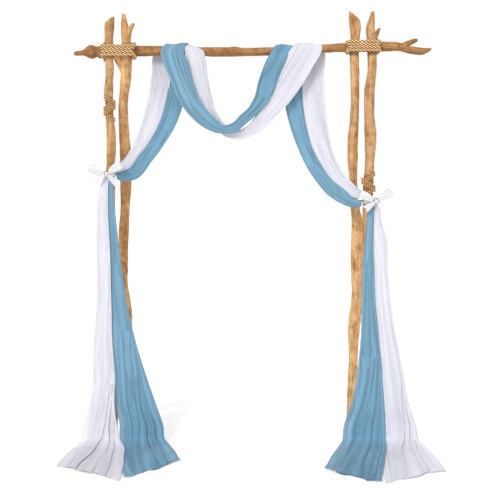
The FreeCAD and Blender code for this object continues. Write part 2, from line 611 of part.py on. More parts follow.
def train(node, pair_x, outline):
    """Cloth that runs out over the floor and thins evenly to half TrainThick at its hem.
    outline is a list of floor spots: a pad of that outline is cut to a wedge's height."""
    body = doc.addObject("PartDesign::Body", node + "_sheet")
    sketch = body.newObject("Sketcher::SketchObject", node + "_outline")
    sketch.AttachmentSupport = (plane_of(body, "XY_Plane"), [""])
    sketch.MapMode = "FlatFace"
    spots = [floor_spot(pair_x, *spot) for spot in outline]
    for spot, after in zip(spots, spots[1:] + spots[:1]):
        ends = [Vector(x.value, y.value, 0) for x, y in (spot, after)]
        sketch.addGeometry(Part.LineSegment(*ends), False)
    for k, spot in enumerate(spots):
        sketch.addConstraint(Sketcher.Constraint("Coincident", k, 2, (k + 1) % len(spots), 1))
        for kind, length in zip(("DistanceX", "DistanceY"), spot):
            index = sketch.addConstraint(Sketcher.Constraint(kind, -1, 1, k, 1, length.value))
            bind(sketch, f"Constraints[{index}]", length)
    pad = body.newObject("PartDesign::Pad", node + "_pad")
    pad.Profile = sketch
    bind(pad, "Length", S["TrainThick"])
    body.Tip = pad
    wedge = doc.addObject("Part::Wedge", node + "_height")
    back, front = floor_spot(pair_x, 0, 0)[1], floor_spot(pair_x, 0, 1)[1]
    left, right = pair_x - S["TrainWidth"], pair_x + S["TrainWidth"]
    for key, length in (("Xmin", left), ("X2min", left), ("Xmax", right), ("X2max", right),
                        ("Ymin", front), ("Ymax", back), ("Zmin", size(0)), ("Z2min", size(0)),
                        ("Zmax", S["TrainThick"] / 2), ("Z2max", S["TrainThick"])):
        bind(wedge, key, length)
    common = doc.addObject("Part::MultiCommon", node)
    common.Shapes = [body, wedge]
    return keep(common, node)


train("left_white_train", LeftPair, [
    (-0.371, 0.00), (-0.430, 0.25), (-0.481, 0.50), (-0.455, 0.60), (0.080, 0.92), (-0.039, 0.00)])
train("left_blue_train", LeftPair, [
    (-0.034, 0.00), (0.089, 0.88), (0.500, 0.48), (0.524, 0.36), (0.450, 0.20), (0.348, 0.00)])
train("right_blue_train", RightPair, [
    (-0.166, 0.00), (-0.245, 0.25), (-0.335, 0.50), (-0.330, 0.68), (0.084, 0.985), (0.231, 0.00)])
train("right_white_train", RightPair, [
    (0.236, 0.00), (0.093, 1.00), (0.620, 0.68), (0.637, 0.50), (0.570, 0.25), (0.505, 0.00)])


# Ribbon ties: a band round the post and the gathered cloth, a knot, two loops, two tails.
def tie_band(node, left_x, right_x, post_y, reach, tie_z, snug=0.0):
    """A flat ring round an outer post and the gathered cloth in front of it."""
    body = doc.addObject("PartDesign::Body", node)
    sketch = body.newObject("Sketcher::SketchObject", node + "_ring")
    sketch.AttachmentSupport = (plane_of(body, "XY_Plane"), [""])
    sketch.MapMode = "FlatFace"
    axis_y = part_way(OuterFoot, post_y, tie_z / BeamZ)
    half_w = (right_x - left_x) / 2
    back = axis_y + S["PostDia"] * (reach - snug) / 2 + S["Clear"]
    front = axis_y - S["PostDia"] * reach / 2 - S["Clear"] * 3 - 22
    place(sketch, ((left_x + right_x) / 2, (back + front) / 2, tie_z - S["RibbonWidth"] / 2),
          "AttachmentOffset")
    half_l = (back - front) / 2
    for grow, corner in ((size(0), size(5.8)), (S["RibbonThick"], size(6.4))):
        first = sketch.GeometryCount
        x = half_w + grow
        y = half_l + grow
        spots = [(corner - x, -y), (x - corner, -y), (x, corner - y), (x, y - corner),
                 (x - corner, y), (corner - x, y), (-x, y - corner), (-x, corner - y)]
        for spot, after in zip(spots, spots[1:] + spots[:1]):
            ends = [Vector(px.value, py.value, 0) for px, py in (spot, after)]
            sketch.addGeometry(Part.LineSegment(*ends), False)
        for k, spot in enumerate(spots):
            sketch.addConstraint(Sketcher.Constraint("Coincident", first + k, 2, first + (k + 1) % 8, 1))
            for kind, length in zip(("DistanceX", "DistanceY"), spot):
                index = sketch.addConstraint(Sketcher.Constraint(kind, -1, 1, first + k, 1, length.value))
                bind(sketch, f"Constraints[{index}]", length)
    pad = body.newObject("PartDesign::Pad", node + "_width")
    pad.Profile = sketch
    bind(pad, "Length", S["RibbonWidth"])
    body.Tip = pad
    keep(body, node)
    return front - S["RibbonThick"]


LOOP = [(12.5, 9), (26, 20), (50, 30), (74, 33), (88, 22)]
TAIL = [(12.5, 8), (30, 18), (52, 26), (70, 34)]


def ribbon_arm(name, knot, direction, rows, thick):
    """A loop or tail of the bow: rows are (distance from the knot, width)."""
    x, y, z = knot
    way = Vector(direction[0], 0, direction[1]).normalize()
    across = Vector(-way.z, 0, way.x)
    turn = Rotation(way, across, way.cross(across), "ZXY")
    outline = [(far, width / 2) for far, width in reversed(rows)]
    outline += [(far, -width / 2) for far, width in rows]
    return outline_pad(name, outline, thick, (x, y + thick / 2, z), turn)


def bow(side, x, front_y, z, loops, tails):
    knot_y = front_y - S["Clear"] - 8
    at = (x, knot_y, z)
    body = doc.addObject("PartDesign::Body", f"{side}_bow_knot")
    outline = log_section(body, f"{side}_bow_knot_outline", "XZ_Plane", (x, z, 8 - knot_y), 24)
    pad = body.newObject("PartDesign::Pad", f"{side}_bow_knot_depth")
    pad.Profile = outline
    pad.Length = 16
    pad.Reversed = True
    body.Tip = pad
    keep(body, f"{side}_bow_knot")
    group(f"{side}_bow_loops", [ribbon_arm(f"{side}_loop{i}", at, way, LOOP, 10)
                                for i, way in enumerate(loops)])
    group(f"{side}_bow_tails", [ribbon_arm(f"{side}_ribbon_tail{i}", at, way, TAIL, 3)
                                for i, way in enumerate(tails)])


left_front = tie_band("left_tie_band", LeftTieX - Bundle - S["Clear"] * 2, LeftTieX + Bundle + S["Clear"] * 2,
                      LeftOuterY, 1.10, S["LeftTieHeight"], 0.22)
bow("left", LeftTieX - 10, left_front, S["LeftTieHeight"],
    [(-83, 29), (63, 44)], [(49, -44), (-66, -34)])
right_front = tie_band("right_tie_band", RightOuterX - 7.6 - S["PostDia"] * 0.54 - S["Clear"],
                       RightTieX + 24 + Bundle / 2 + S["Clear"] * 2,
                       RightOuterY, 1.30, S["RightTieHeight"])
bow("right", RightTieX + 18, right_front, S["RightTieHeight"],
    [(-83, 39), (78, 49)], [(-63, -44), (58, -58)])

doc.recompute()

bad = [o.Name for o in doc.Objects if "Invalid" in o.State or "Error" in o.State]
for node, obj in NODES:
    shape = obj.Shape
    if shape.isNull() or not shape.isValid() or not shape.Solids:
        bad.append(node)
if bad:
    raise RuntimeError("these objects did not build: " + ", ".join(bad))
os.makedirs("parts", exist_ok=True)
for node, obj in NODES:
    obj.Shape.exportStep(f"parts/{node}.step")
box = FreeCAD.BoundBox()
for node, obj in NODES:
    box.add(obj.Shape.BoundBox)
print(f"{len(NODES)} nodes; box x {box.XMin:.1f} {box.XMax:.1f}, "
      f"y {box.YMin:.1f} {box.YMax:.1f}, z {box.ZMin:.1f} {box.ZMax:.1f}")
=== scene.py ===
import math

import bpy
import numpy as np
from bpy.props import FloatProperty, FloatVectorProperty, IntProperty, PointerProperty
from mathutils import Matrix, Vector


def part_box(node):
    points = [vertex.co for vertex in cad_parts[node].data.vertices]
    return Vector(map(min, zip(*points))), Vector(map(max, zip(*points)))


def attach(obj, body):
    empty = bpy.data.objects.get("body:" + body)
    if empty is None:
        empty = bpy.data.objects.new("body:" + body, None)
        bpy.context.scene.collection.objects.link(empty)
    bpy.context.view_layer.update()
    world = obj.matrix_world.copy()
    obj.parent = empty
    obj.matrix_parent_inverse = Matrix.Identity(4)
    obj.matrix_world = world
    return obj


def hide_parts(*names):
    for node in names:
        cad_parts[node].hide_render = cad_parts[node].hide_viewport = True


bl_info = {
    "name": "Draped wedding arch",
    "version": (1, 0, 0),
    "blender": (4, 5, 0),
    "location": "View3D > Sidebar > Wedding arch",
    "description": "Driftwood logs, rope, chiffon panels, ribbon bows and a plain stage",
    "category": "Object",
}

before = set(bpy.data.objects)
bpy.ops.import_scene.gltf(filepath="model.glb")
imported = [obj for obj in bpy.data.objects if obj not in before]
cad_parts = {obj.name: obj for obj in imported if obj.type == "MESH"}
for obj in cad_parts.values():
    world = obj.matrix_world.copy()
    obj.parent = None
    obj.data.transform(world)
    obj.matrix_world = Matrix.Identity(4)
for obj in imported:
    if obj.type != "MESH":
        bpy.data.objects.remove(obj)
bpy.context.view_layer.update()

# Sizes and places shared with the solids, in millimetres
ARCH_X, BEAM_Y, BEAM_Z = -48.5, 196.4, 1955.0
ARCH_SPAN, PAIR_GAP = 1180.0, 85.0
BEAM_LENGTH, BEAM_DIA, POST_DIA, ROPE_DIA = 1739.0, 52.0, 46.0, 16.0
FOOT_FORWARD, FOOT_BACK = 100.0, 200.0
SWAG_DROP, TRAIN_WIDTH, TRAIN_REACH, TRAIN_THICK = 376.0, 620.0, 490.0, 16.0
CLEAR = 0.3
OUTER_FOOT, INNER_FOOT = BEAM_Y - FOOT_FORWARD, BEAM_Y + FOOT_BACK
LEFT_PAIR, RIGHT_PAIR = ARCH_X - ARCH_SPAN / 2, ARCH_X + ARCH_SPAN / 2
LEFT_OUTER_X, LEFT_INNER_X = LEFT_PAIR - PAIR_GAP / 2, LEFT_PAIR + PAIR_GAP / 2
RIGHT_INNER_X, RIGHT_OUTER_X = RIGHT_PAIR - PAIR_GAP / 2, RIGHT_PAIR + PAIR_GAP / 2
LEFT_TIE = (LEFT_OUTER_X - 6, 1364.0)
RIGHT_TIE = (RIGHT_OUTER_X + 7.5, 1232.0)
LEFT_CREST, RIGHT_CREST = ARCH_X - ARCH_SPAN * 0.2420, ARCH_X + ARCH_SPAN * 0.2330
# About how far the posts' axes pass in front of the beam's
CROSSING_OUT = 50.0


def part_way(start, end, share):
    return start + (end - start) * share


def crossing_y(post_share, beam_share, foot=0.0, up=0.0):
    """Axis of a post where it passes in front of the beam. A post that leans forward from
    foot, and meets a beam that lies up higher there, stands out a little more."""
    lean = (foot + CROSSING_OUT) * up / BEAM_Z
    return BEAM_Y - POST_DIA * post_share / 2 - BEAM_DIA * beam_share / 2 - CLEAR * 2 + lean


LEFT_OUTER_Y = crossing_y(0.85, 1.19)
LEFT_INNER_Y = crossing_y(1.05, 1.09)
RIGHT_INNER_Y = crossing_y(0.98, 0.83, FOOT_BACK, 18)
RIGHT_OUTER_Y = crossing_y(0.98, 0.89)


# Lines and surfaces
def spline(rows, step):
    """Rows of numbers along a line, the first three its place: a cubic through every row
    with three-point slopes, read off about every step. Returns the new rows."""
    rows = np.asarray(rows, float)
    gaps = np.linalg.norm(np.diff(rows[:, :3], axis=0), axis=1)
    at = np.concatenate([[0.0], np.cumsum(gaps)])
    chord = np.diff(rows, axis=0) / gaps[:, None]
    slope = np.empty_like(rows)
    slope[0], slope[-1] = chord[0], chord[-1]
    before, after = gaps[:-1, None], gaps[1:, None]
    slope[1:-1] = (chord[:-1] * after + chord[1:] * before) / (before + after)
    t = np.linspace(0, at[-1], max(3, int(math.ceil(at[-1] / step)) + 1))
    k = np.clip(np.searchsorted(at, t, side="right") - 1, 0, len(gaps) - 1)
    h = gaps[k][:, None]
    s = ((t - at[k]) / gaps[k])[:, None]
    return ((2 * s**3 - 3 * s**2 + 1) * rows[k] + (s**3 - 2 * s**2 + s) * h * slope[k]
            + (3 * s**2 - 2 * s**3) * rows[k + 1] + (s**3 - s**2) * h * slope[k + 1])


def run_of(line):
    """Distance along the places of a line."""
    return np.concatenate([[0.0], np.cumsum(np.linalg.norm(np.diff(line[:, :3], axis=0), axis=1))])


def unit(v):
    return v / np.maximum(np.linalg.norm(v, axis=-1, keepdims=True), 1e-12)


def wander(x, seed):
    """A smooth, repeatable wobble between about -1 and 1: a sum of sines with lengths and
    starts drawn from seed."""
    rng = np.random.default_rng(seed)
    total = np.zeros_like(x, dtype=float)
    for k in range(5):
        faster = 1 + 1.7 * k * rng.uniform(0.8, 1.2)
        total += np.sin(x * faster + rng.uniform(0, 2 * np.pi)) / (1 + 0.7 * k)
    return total / 2.2


class Surface:
    """Grids of points gathered into one mesh, with a flat coordinate and named marks."""

    def __init__(self):
        self.points, self.faces, self.corners, self.marks, self.count = [], [], [], {}, 0

    def grid(self, points, uv, wrap=False, ends=(False, False), **marks):
        """points has rows, columns and three numbers in millimetres. wrap joins the last
        column to the first; ends close the first and last row with a fan."""
        rows, cols = points.shape[:2]
        index = np.arange(rows * cols).reshape(rows, cols) + self.count
        flat = np.asarray(uv, float)
        if wrap:
            lap = np.concatenate([flat, flat[:, :1] + [[[1.0, 0.0]]]], axis=1)
            left, right = index, np.roll(index, -1, axis=1)
        else:
            lap, left, right = flat, index[:, :-1], index[:, 1:]
        self.faces.append(np.stack([left[:-1], right[:-1], right[1:], left[1:]], -1).reshape(-1, 4))
        quads = np.stack([lap[:-1, :-1], lap[:-1, 1:], lap[1:, 1:], lap[1:, :-1]], 2)
        self.corners.append(quads.reshape(-1, 2))
        self.points.append(points.reshape(-1, 3))
        self.count += rows * cols
        values = {k: np.broadcast_to(v, (rows, cols)).reshape(-1) for k, v in marks.items()}
        for row, close in zip((0, rows - 1), ends):
            if not close:
                continue
            self.points.append(points[row].mean(0)[None])
            ring, after = index[row], np.roll(index[row], -1)
            middle = np.full(cols, self.count)
            fan = [middle, after, ring, ring] if row == 0 else [middle, ring, after, after]
            self.faces.append(np.stack(fan, -1))
            self.corners.append(np.repeat(flat[row].mean(0)[None], 4 * cols, 0))
            self.count += 1
            on_row = index[row] - index[0, 0]
            values = {k: np.append(v, v[on_row].mean()) for k, v in values.items()}
        for k, v in values.items():
            self.marks.setdefault(k, []).append(v)

    def build(self, name, material):
        """The finished object, in metres, riding on the part's only body."""
        mesh = bpy.data.meshes.new(name)
        points = np.concatenate(self.points) / 1000
        faces = np.concatenate(self.faces)
        fans = faces[:, 2] == faces[:, 3]
        sizes = np.where(fans, 3, 4)
        keep = np.ones((len(faces), 4), bool)
        keep[fans, 3] = False
        mesh.vertices.add(len(points))
        mesh.vertices.foreach_set("co", points.astype(np.float32).ravel())
        mesh.loops.add(int(sizes.sum()))
        mesh.loops.foreach_set("vertex_index", faces[keep].astype(np.int32))
        mesh.polygons.add(len(faces))
        starts = np.concatenate([[0], np.cumsum(sizes)[:-1]])
        mesh.polygons.foreach_set("loop_start", starts.astype(np.int32))
        mesh.update(calc_edges=True)
        mesh.polygons.foreach_set("use_smooth", np.ones(len(faces), bool))
        layer = mesh.uv_layers.new(name="Flat")
        corners = np.concatenate(self.corners).reshape(-1, 4, 2)[keep]
        layer.data.foreach_set("uv", corners.astype(np.float32).ravel())
        for key, parts in self.marks.items():
            attribute = mesh.attributes.new(key, "FLOAT", "POINT")
            attribute.data.foreach_set("value", np.concatenate(parts).astype(np.float32))
        mesh.validate()
        mesh.materials.append(material)
        piece = bpy.data.objects.new(name, mesh)
        bpy.context.scene.collection.objects.link(piece)
        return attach(piece, "root")


# Driftwood
LOG_STEP = 5.5
LOG_AROUND, BRANCH_AROUND = 72, 48
BRANCH_FINE = 0.5
# Axis of each post at the beam, place of its foot, rows of (share of the beam's height,
# offset beside the axis, share of POST_DIA), turn of its broken top, and its branches
POSTS = {
    "left_outer_post": (LEFT_OUTER_X, LEFT_OUTER_Y, OUTER_FOOT, [
        (0.000, -22, 1.00), (0.180, -16, 1.06), (0.400, -11, 0.95), (0.640, -9, 0.96),
        (0.707, -6, 0.85), (0.778, 2, 1.02), (0.840, -4, 0.85), (0.905, -5, 0.82),
        (0.955, 0, 0.81), (1.000, 0, 0.85), (1.035, 1, 0.87), (1.058, 5, 0.98), (1.073, 8, 0.86),
    ], -34, []),
    "left_inner_post": (LEFT_INNER_X, LEFT_INNER_Y, INNER_FOOT, [
        (0.000, -53, 1.09), (0.150, -55, 1.13), (0.300, -59, 1.16), (0.340, -58, 1.18),
        (0.385, -63, 0.90), (0.480, -58, 0.88), (0.530, -56, 1.16), (0.600, -43, 1.06),
        (0.705, -29, 1.19), (0.810, -29, 1.02), (0.880, -26, 0.93), (0.925, -12, 1.03),
        (0.970, -1, 1.04), (1.000, 0, 1.05), (1.035, -2, 0.93), (1.060, -6, 0.74), (1.084, -7, 0.36),
    ], 12, [
        [(0.895, -20, 0.60), (0.925, -18, 0.74), (0.945, -17, 0.74), (0.960, -27, 0.78),
         (0.975, -40, 0.86), (0.992, -43, 0.80), (1.012, -43, 0.60)],
        [(1.022, 2, 0.84), (1.044, 15, 0.66), (1.058, 31, 0.44), (1.062, 36, 0.30)],
    ]),
    "right_inner_post": (RIGHT_INNER_X, RIGHT_INNER_Y, INNER_FOOT, [
        (0.000, 50, 1.00), (0.120, 51, 1.06), (0.200, 53, 1.10), (0.265, 49, 1.38),
        (0.365, 57, 1.17), (0.490, 49, 1.30), (0.575, 44, 1.18), (0.620, 26, 0.93),
        (0.690, 17, 0.91), (0.765, 8, 1.14), (0.850, 13, 0.92), (0.935, 7, 0.93),
        (1.000, 0, 0.98), (1.030, 2, 0.92), (1.055, 0, 1.15), (1.080, -5, 1.12),
    ], 38, []),
    "right_outer_post": (RIGHT_OUTER_X, RIGHT_OUTER_Y, OUTER_FOOT, [
        (0.000, 5, 1.04), (0.200, 1, 1.08), (0.410, -4, 1.12), (0.600, -8, 1.06),
        (0.670, -5, 1.14), (0.720, -2, 1.00), (0.790, 0, 1.18), (0.850, -8, 1.08),
        (0.905, -8, 1.00), (0.950, 2, 0.89), (1.000, 0, 0.93), (1.030, -3, 1.03),
        (1.055, -9, 0.86), (1.072, -4, 0.64), (1.092, 1, 0.34),
    ], -10, [
        [(1.020, 2, 0.60), (1.035, 18, 0.44), (1.052, 33, 0.24)],
    ]),
}
# Rows of (share of BEAM_LENGTH beside the arch's middle, rise, share of BEAM_DIA)
BEAM_STEM = [
    (-0.4670, -13, 0.22), (-0.4640, -12, 0.36), (-0.4560, -11, 0.42), (-0.4440, -9, 0.48),
    (-0.4365, -6, 0.66), (-0.4270, -3, 1.10), (-0.4200, -3, 1.27), (-0.4130, -4, 1.24),
    (-0.4040, -3, 0.98), (-0.3950, -5, 1.16), (-0.3840, -5, 1.22), (-0.3680, -5, 1.20),
    (-0.3380, -4, 1.13), (-0.2820, 0, 1.00),
    (-0.1840, 0, 0.85), (-0.0440, -5, 0.83), (0.0760, -2, 0.75), (0.1660, 5, 0.73),
    (0.2360, 12, 0.71), (0.2780, 15, 0.77), (0.3480, 18, 0.87), (0.4040, 21, 0.93),
    (0.4380, 21, 0.85), (0.4620, 16, 0.71),
]
BEAM_PRONGS = [
    [(0.4500, 24, 0.50), (0.4700, 36, 0.50), (0.4940, 52, 0.22)],
    [(0.4500, 12, 0.62), (0.4800, 4, 0.66), (0.5100, -2, 0.60), (0.5330, 8, 0.22)],
]


def log_grid(surface, rows, first, second, seed, cut=0.0, around=LOG_AROUND, fine=1.0, shaded=()):
    """A weathered log. Along a cubic line through rows (x, y, z, radius) the outline at
    angle a and distance s is radius * (1 + lumps + ridges - cracks) + knots: lumps are
    sines of 2a and 3a that drift with s, ridges sines of 9a and 17a that follow the twist
    of the grain, cracks narrow dips where sin(5a + drift) is near 0, and knots round
    humps with a dent in the middle. first and second span the outline's plane. The end is
    a rounded rim and a broken face, turned by cut degrees. fine scales the knots' height
    and number. The wood is painted darker as shade in the cracks and the grooves between
    ridges, darker in the knots' own tone, and in rings of tone on the end. shaded lists
    spans (number of the coordinate, from, to) where it is painted darker as shade under
    ropes."""
    line = spline(rows, LOG_STEP)
    s = run_of(line)[:, None]
    radius = line[:, 3][:, None]
    a = np.pi / 2 + 2 * np.pi * np.arange(around)[None] / around
    rng = np.random.default_rng(seed)
    twist = a + 0.0009 * s + 0.20 * wander(s / 160, seed + 1)
    lumps = (0.050 * np.sin(2 * a + 3 * wander(s / 210, seed + 2))
             + 0.035 * np.sin(3 * a + 4 * wander(s / 150, seed + 3)))
    ridges = (0.016 * np.sin(9 * twist + 2 * wander(s / 90, seed + 4))
              + 0.010 * np.sin(17 * twist + 3 * wander(s / 70, seed + 5)))
    depth = np.clip(0.6 + wander(s / 120, seed + 6), 0, 1.2)
    cracks = depth * np.exp(-(np.sin(2.5 * twist + 1.5 * wander(s / 130, seed + 7)) / 0.10) ** 2)
    grown = radius * (1 + lumps + ridges - 0.075 * cracks)
    # Painted shade in the cracks and in the grooves between ridges
    dark = 0.55 * cracks - 14 * ridges
    for _ in range(int(3 + s[-1, 0] / 190 * fine)):
        spot, side, wide = rng.uniform(0.04, 0.93) * s[-1, 0], rng.uniform(0, 2 * np.pi), rng.uniform(11, 20)
        arc = np.angle(np.exp(1j * (a - side))) * radius
        far = np.sqrt(((s - spot) / 1.35) ** 2 + arc**2) / wide
        hump = np.exp(-far**2) - 0.75 * np.exp(-(far * 2.6) ** 2)
        grown = grown + fine * rng.uniform(2.5, 5.0) * hump
        dark = dark + 0.9 * np.exp(-(far * 2.2) ** 2) + 0.35 * np.exp(-((far - 1.1) * 3) ** 2)
    # Painted shade on the wood where ropes lie over it
    for number, low, high in shaded:
        spot = line[:, number][:, None]
        dark = dark + 1.2 * np.clip((spot - low) / 4, 0, 1) * np.clip((high - spot) / 4, 0, 1)
    first, second = np.asarray(first, float), np.asarray(second, float)
    out = np.cos(a)[..., None] * first + np.sin(a)[..., None] * second
    axis = np.cross(first, second)
    points = line[:, None, :3] + grown[..., None] * out
    near_end = np.clip((s - s[-1, 0] + 30) / 30, 0, 1) ** 2
    lean = -math.tan(math.radians(cut)) * np.cos(a) * grown * near_end
    points = points + lean[..., None] * axis
    rough = 0.05 * radius[-1, 0] * (wander(a * 3, seed + 8) + 0.6 * wander(a * 11, seed + 9))
    points[-1] += (rough * 0.6).T * axis
    middle = points[-1].mean(0)
    steps = np.array([0.97, 0.90, 0.72, 0.50, 0.25])[:, None, None]
    rise = np.array([0.05, 0.09, 0.09, 0.07, 0.05])[:, None, None] * radius[-1, 0]
    cap = middle + (points[-1] - middle) * steps + rise * axis
    pits = wander(a * 5 + steps[..., 0] * 9, seed + 10) * 0.035 * radius[-1, 0]
    cap = cap + pits[..., None] * axis * steps
    points = np.concatenate([points, cap])
    dark = np.concatenate([np.clip(dark, -0.4, 1.4), 0.35 + 0.3 * wander(steps[..., 0] * 40 + 0 * a, seed)])
    end = np.concatenate([np.zeros((len(s), around)), np.ones((len(steps), around))])
    run = np.concatenate([s[:, 0], s[-1, 0] + np.arange(1, len(steps) + 1) * 3])
    uv = np.stack(np.broadcast_arrays(np.arange(around)[None] / around, run[:, None] / 150), -1)
    surface.grid(points, uv, wrap=True, ends=(True, True), dark=dark, end=end)


def ring_rows(cross_x, cross_y, foot_y, rows):
    """Rows (x, y, z, radius) of a log that runs from its foot past the beam."""
    return [(cross_x + aside, part_way(foot_y, cross_y, share), BEAM_Z * share, POST_DIA * thick / 2)
            for share, aside, thick in rows]


def post_surface(cross_x, cross_y, foot_y, rows, cut, branches, seed, shaded):
    """A post and its branches, with their outlines level."""
    surface = Surface()
    stem = ring_rows(cross_x, cross_y, foot_y, rows)
    log_grid(surface, stem, (1, 0, 0), (0, 1, 0), seed, cut, shaded=shaded)
    for b, branch in enumerate(branches):
        stub = ring_rows(cross_x, cross_y, foot_y, branch)
        log_grid(surface, stub, (1, 0, 0), (0, 1, 0), seed + 20 + b, 0.0, BRANCH_AROUND, BRANCH_FINE)
    return surface


def beam_surface(seed):
    """The crossbeam and the two prongs of its fork, with their outlines upright."""
    surface = Surface()
    finish = [(LOG_AROUND, 1.0), (BRANCH_AROUND, BRANCH_FINE), (BRANCH_AROUND, BRANCH_FINE)]
    for k, (rows, (around, fine)) in enumerate(zip([BEAM_STEM] + BEAM_PRONGS, finish)):
        line = [(ARCH_X + BEAM_LENGTH * share, BEAM_Y, BEAM_Z + up, BEAM_DIA * thick / 2)
                for share, up, thick in rows]
        log_grid(surface, line, (0, 1, 0), (0, 0, 1), seed + k, 0.0, around, fine)
    return surface


# Rope
LASHING_PITCH, LASHING_ROWS = 14.8, 0.93
LASHING_DIA, LASHING_LAY = LASHING_PITCH * 0.91, 56.0
BINDING_DIA, BINDING_LAY = 8.0, 34.0
# Span below a binding's top where the post is painted darker as shade behind the cords
BINDING_SHADE = (118, 8)


def rounded_route(corners, radii, step=9):
    """Corners joined by straight runs, each inner corner rounded by its radius."""
    points = [corners[0]]
    for before, corner, after, radius in zip(corners, corners[1:], corners[2:], radii):
        back, ahead = unit(before - corner), unit(after - corner)
        half = math.acos(float(np.clip(back @ ahead, -1, 1))) / 2
        centre = corner + unit(back + ahead) * radius / math.sin(half)
        bend = math.pi - 2 * half
        arm = corner + back * radius / math.tan(half) - centre
        swing = unit(corner + ahead * radius / math.tan(half) - centre - arm * math.cos(bend))
        turn = np.linspace(0, bend, max(3, int(math.degrees(bend) / step)))[:, None]
        points.extend(arm * np.cos(turn) + swing * radius * np.sin(turn) + centre)
    return np.array(points + [corners[-1]])


def rope_grid(surface, route, dia, lay):
    """Three strands laid round each other. The outline at angle a is where the nearest of
    three circles ends, d cos(b) + sqrt(q^2 - d^2 sin^2(b)), with b the angle from that
    circle's middle; the circles turn once in every lay along the route."""
    keep = np.concatenate([[True], np.linalg.norm(np.diff(route, axis=0), axis=1) > 0.05])
    line = spline(route[keep], dia * 0.11)
    s = run_of(line)
    along = unit(np.gradient(line, axis=0))
    side = np.empty_like(line)
    side[0] = unit(np.cross(along[0], [0.3, 0.5, 0.8]))
    for i in range(1, len(line)):
        side[i] = side[i - 1] - along[i] * (side[i - 1] @ along[i])
        side[i] /= np.linalg.norm(side[i])
    up = np.cross(along, side)
    around = 30
    a = 2 * np.pi * np.arange(around)[None] / around
    phase = a - 2 * np.pi * s[:, None] / lay
    b = (phase + np.pi / 3) % (2 * np.pi / 3) - np.pi / 3
    q = dia * 0.232
    d = dia / 2 - q
    radius = d * np.cos(b) + np.sqrt(np.maximum(q**2 - (d * np.sin(b)) ** 2, 0))
    radius = np.maximum(radius, dia * 0.30)
    radius = radius * (1 + 0.012 * np.sin(30 * b + 0.3 * s[:, None]))
    out = np.cos(a)[..., None] * side[:, None] + np.sin(a)[..., None] * up[:, None]
    points = line[:, None] + radius[..., None] * out
    # Depth between the strands, which the rope material paints as shade in the grooves
    gap = np.clip((dia / 2 - radius) / (dia * 0.12), 0, 1)
    uv = np.stack(np.broadcast_arrays(phase / (2 * np.pi), s[:, None] / 60), -1)
    surface.grid(points, uv, wrap=True, ends=(True, True), gap=gap)


def lashing_route(left, right, front, order):
    """One turn of a square lashing: across the front of both posts above the beam's axis,
    back over the beam, down behind it, forward below it, across the front again and up
    behind the beam to where it began."""
    pitch = LASHING_PITCH
    rise = pitch * (order + 0.5) * LASHING_ROWS
    front_out = pitch / 2 + CLEAR + pitch * 0.3 * order
    back_out = pitch * (order - 0.5)
    z_mid = (left[1] + right[1]) / 2
    upper, lower = z_mid + rise, z_mid - rise
    near, top = BEAM_Y - 38, BEAM_Y - 8

    def side(x, z, beam_r, way):
        wrap = beam_r + pitch / 2 + CLEAR
        over, under = z + wrap, z - wrap
        spots = [(front_out, front, upper), (front_out, near, part_way(upper, over, 0.3)),
                 (back_out, top, over), (back_out, BEAM_Y + wrap, over),
                 (back_out, BEAM_Y + wrap, under), (back_out, top, under),
                 (front_out, near, part_way(lower, under, 0.3)), (front_out, front, lower)]
        bends = [pitch * 0.75, 14, 12, wrap - 0.6]
        return [np.array((x + way * out, y, up)) for out, y, up in spots], bends + bends[::-1]

    left_side, left_bends = side(*left, -1)
    right_side, right_bends = side(*right, 1)
    behind = (right_side[3] + right_side[4]) / 2
    seam = np.array((0, 0, 0.4))
    corners = [behind + seam] + right_side[3::-1] + left_side + right_side[:3:-1] + [behind - seam]
    return rounded_route(corners, right_bends[3::-1] + left_bends + right_bends[:3:-1])


def lashing_surface(left, right, front):
    """Two turns of a lashing. left and right are (x of the post, share of POST_DIA, height
    over the beam's usual axis, share of BEAM_DIA) where the rope goes back over the beam."""
    surface = Surface()
    sides = [(x + POST_DIA * thick / 2 * way, BEAM_Z + up, BEAM_DIA * share / 2)
             for (x, thick, up, share), way in ((left, -1), (right, 1))]
    for order in range(2):
        rope_grid(surface, lashing_route(*sides, front, order), LASHING_DIA, LASHING_LAY)
    return surface


def lashing_front(cross_y, thick):
    """Where a lashing's front runs lie, just before the inner post at the rope's top."""
    top = (BEAM_Z + ROPE_DIA * 1.6) / BEAM_Z
    return part_way(INNER_FOOT, cross_y, top) - POST_DIA * thick / 2 - LASHING_PITCH / 2 - CLEAR


LASHINGS = {
    "left_beam_lashing": ((LEFT_OUTER_X, 0.90, -6, 1.37), (LEFT_INNER_X, 1.03, -1, 1.08),
                          lashing_front(LEFT_INNER_Y, 1.06)),
    "right_beam_lashing": ((RIGHT_INNER_X, 1.00, 16, 0.80), (RIGHT_OUTER_X, 1.04, 20.3, 0.96),
                           lashing_front(RIGHT_INNER_Y, 1.03)),
}
BINDINGS = {
    "left_post_binding": (LEFT_OUTER_X - 4, LEFT_OUTER_Y, 1744.0, 0.90, -1, (2, 4, 2)),
    "right_post_binding": (RIGHT_OUTER_X - 5, RIGHT_OUTER_Y, RIGHT_TIE[1] + 138, 1.16, 1, (2, 3, 2)),
}


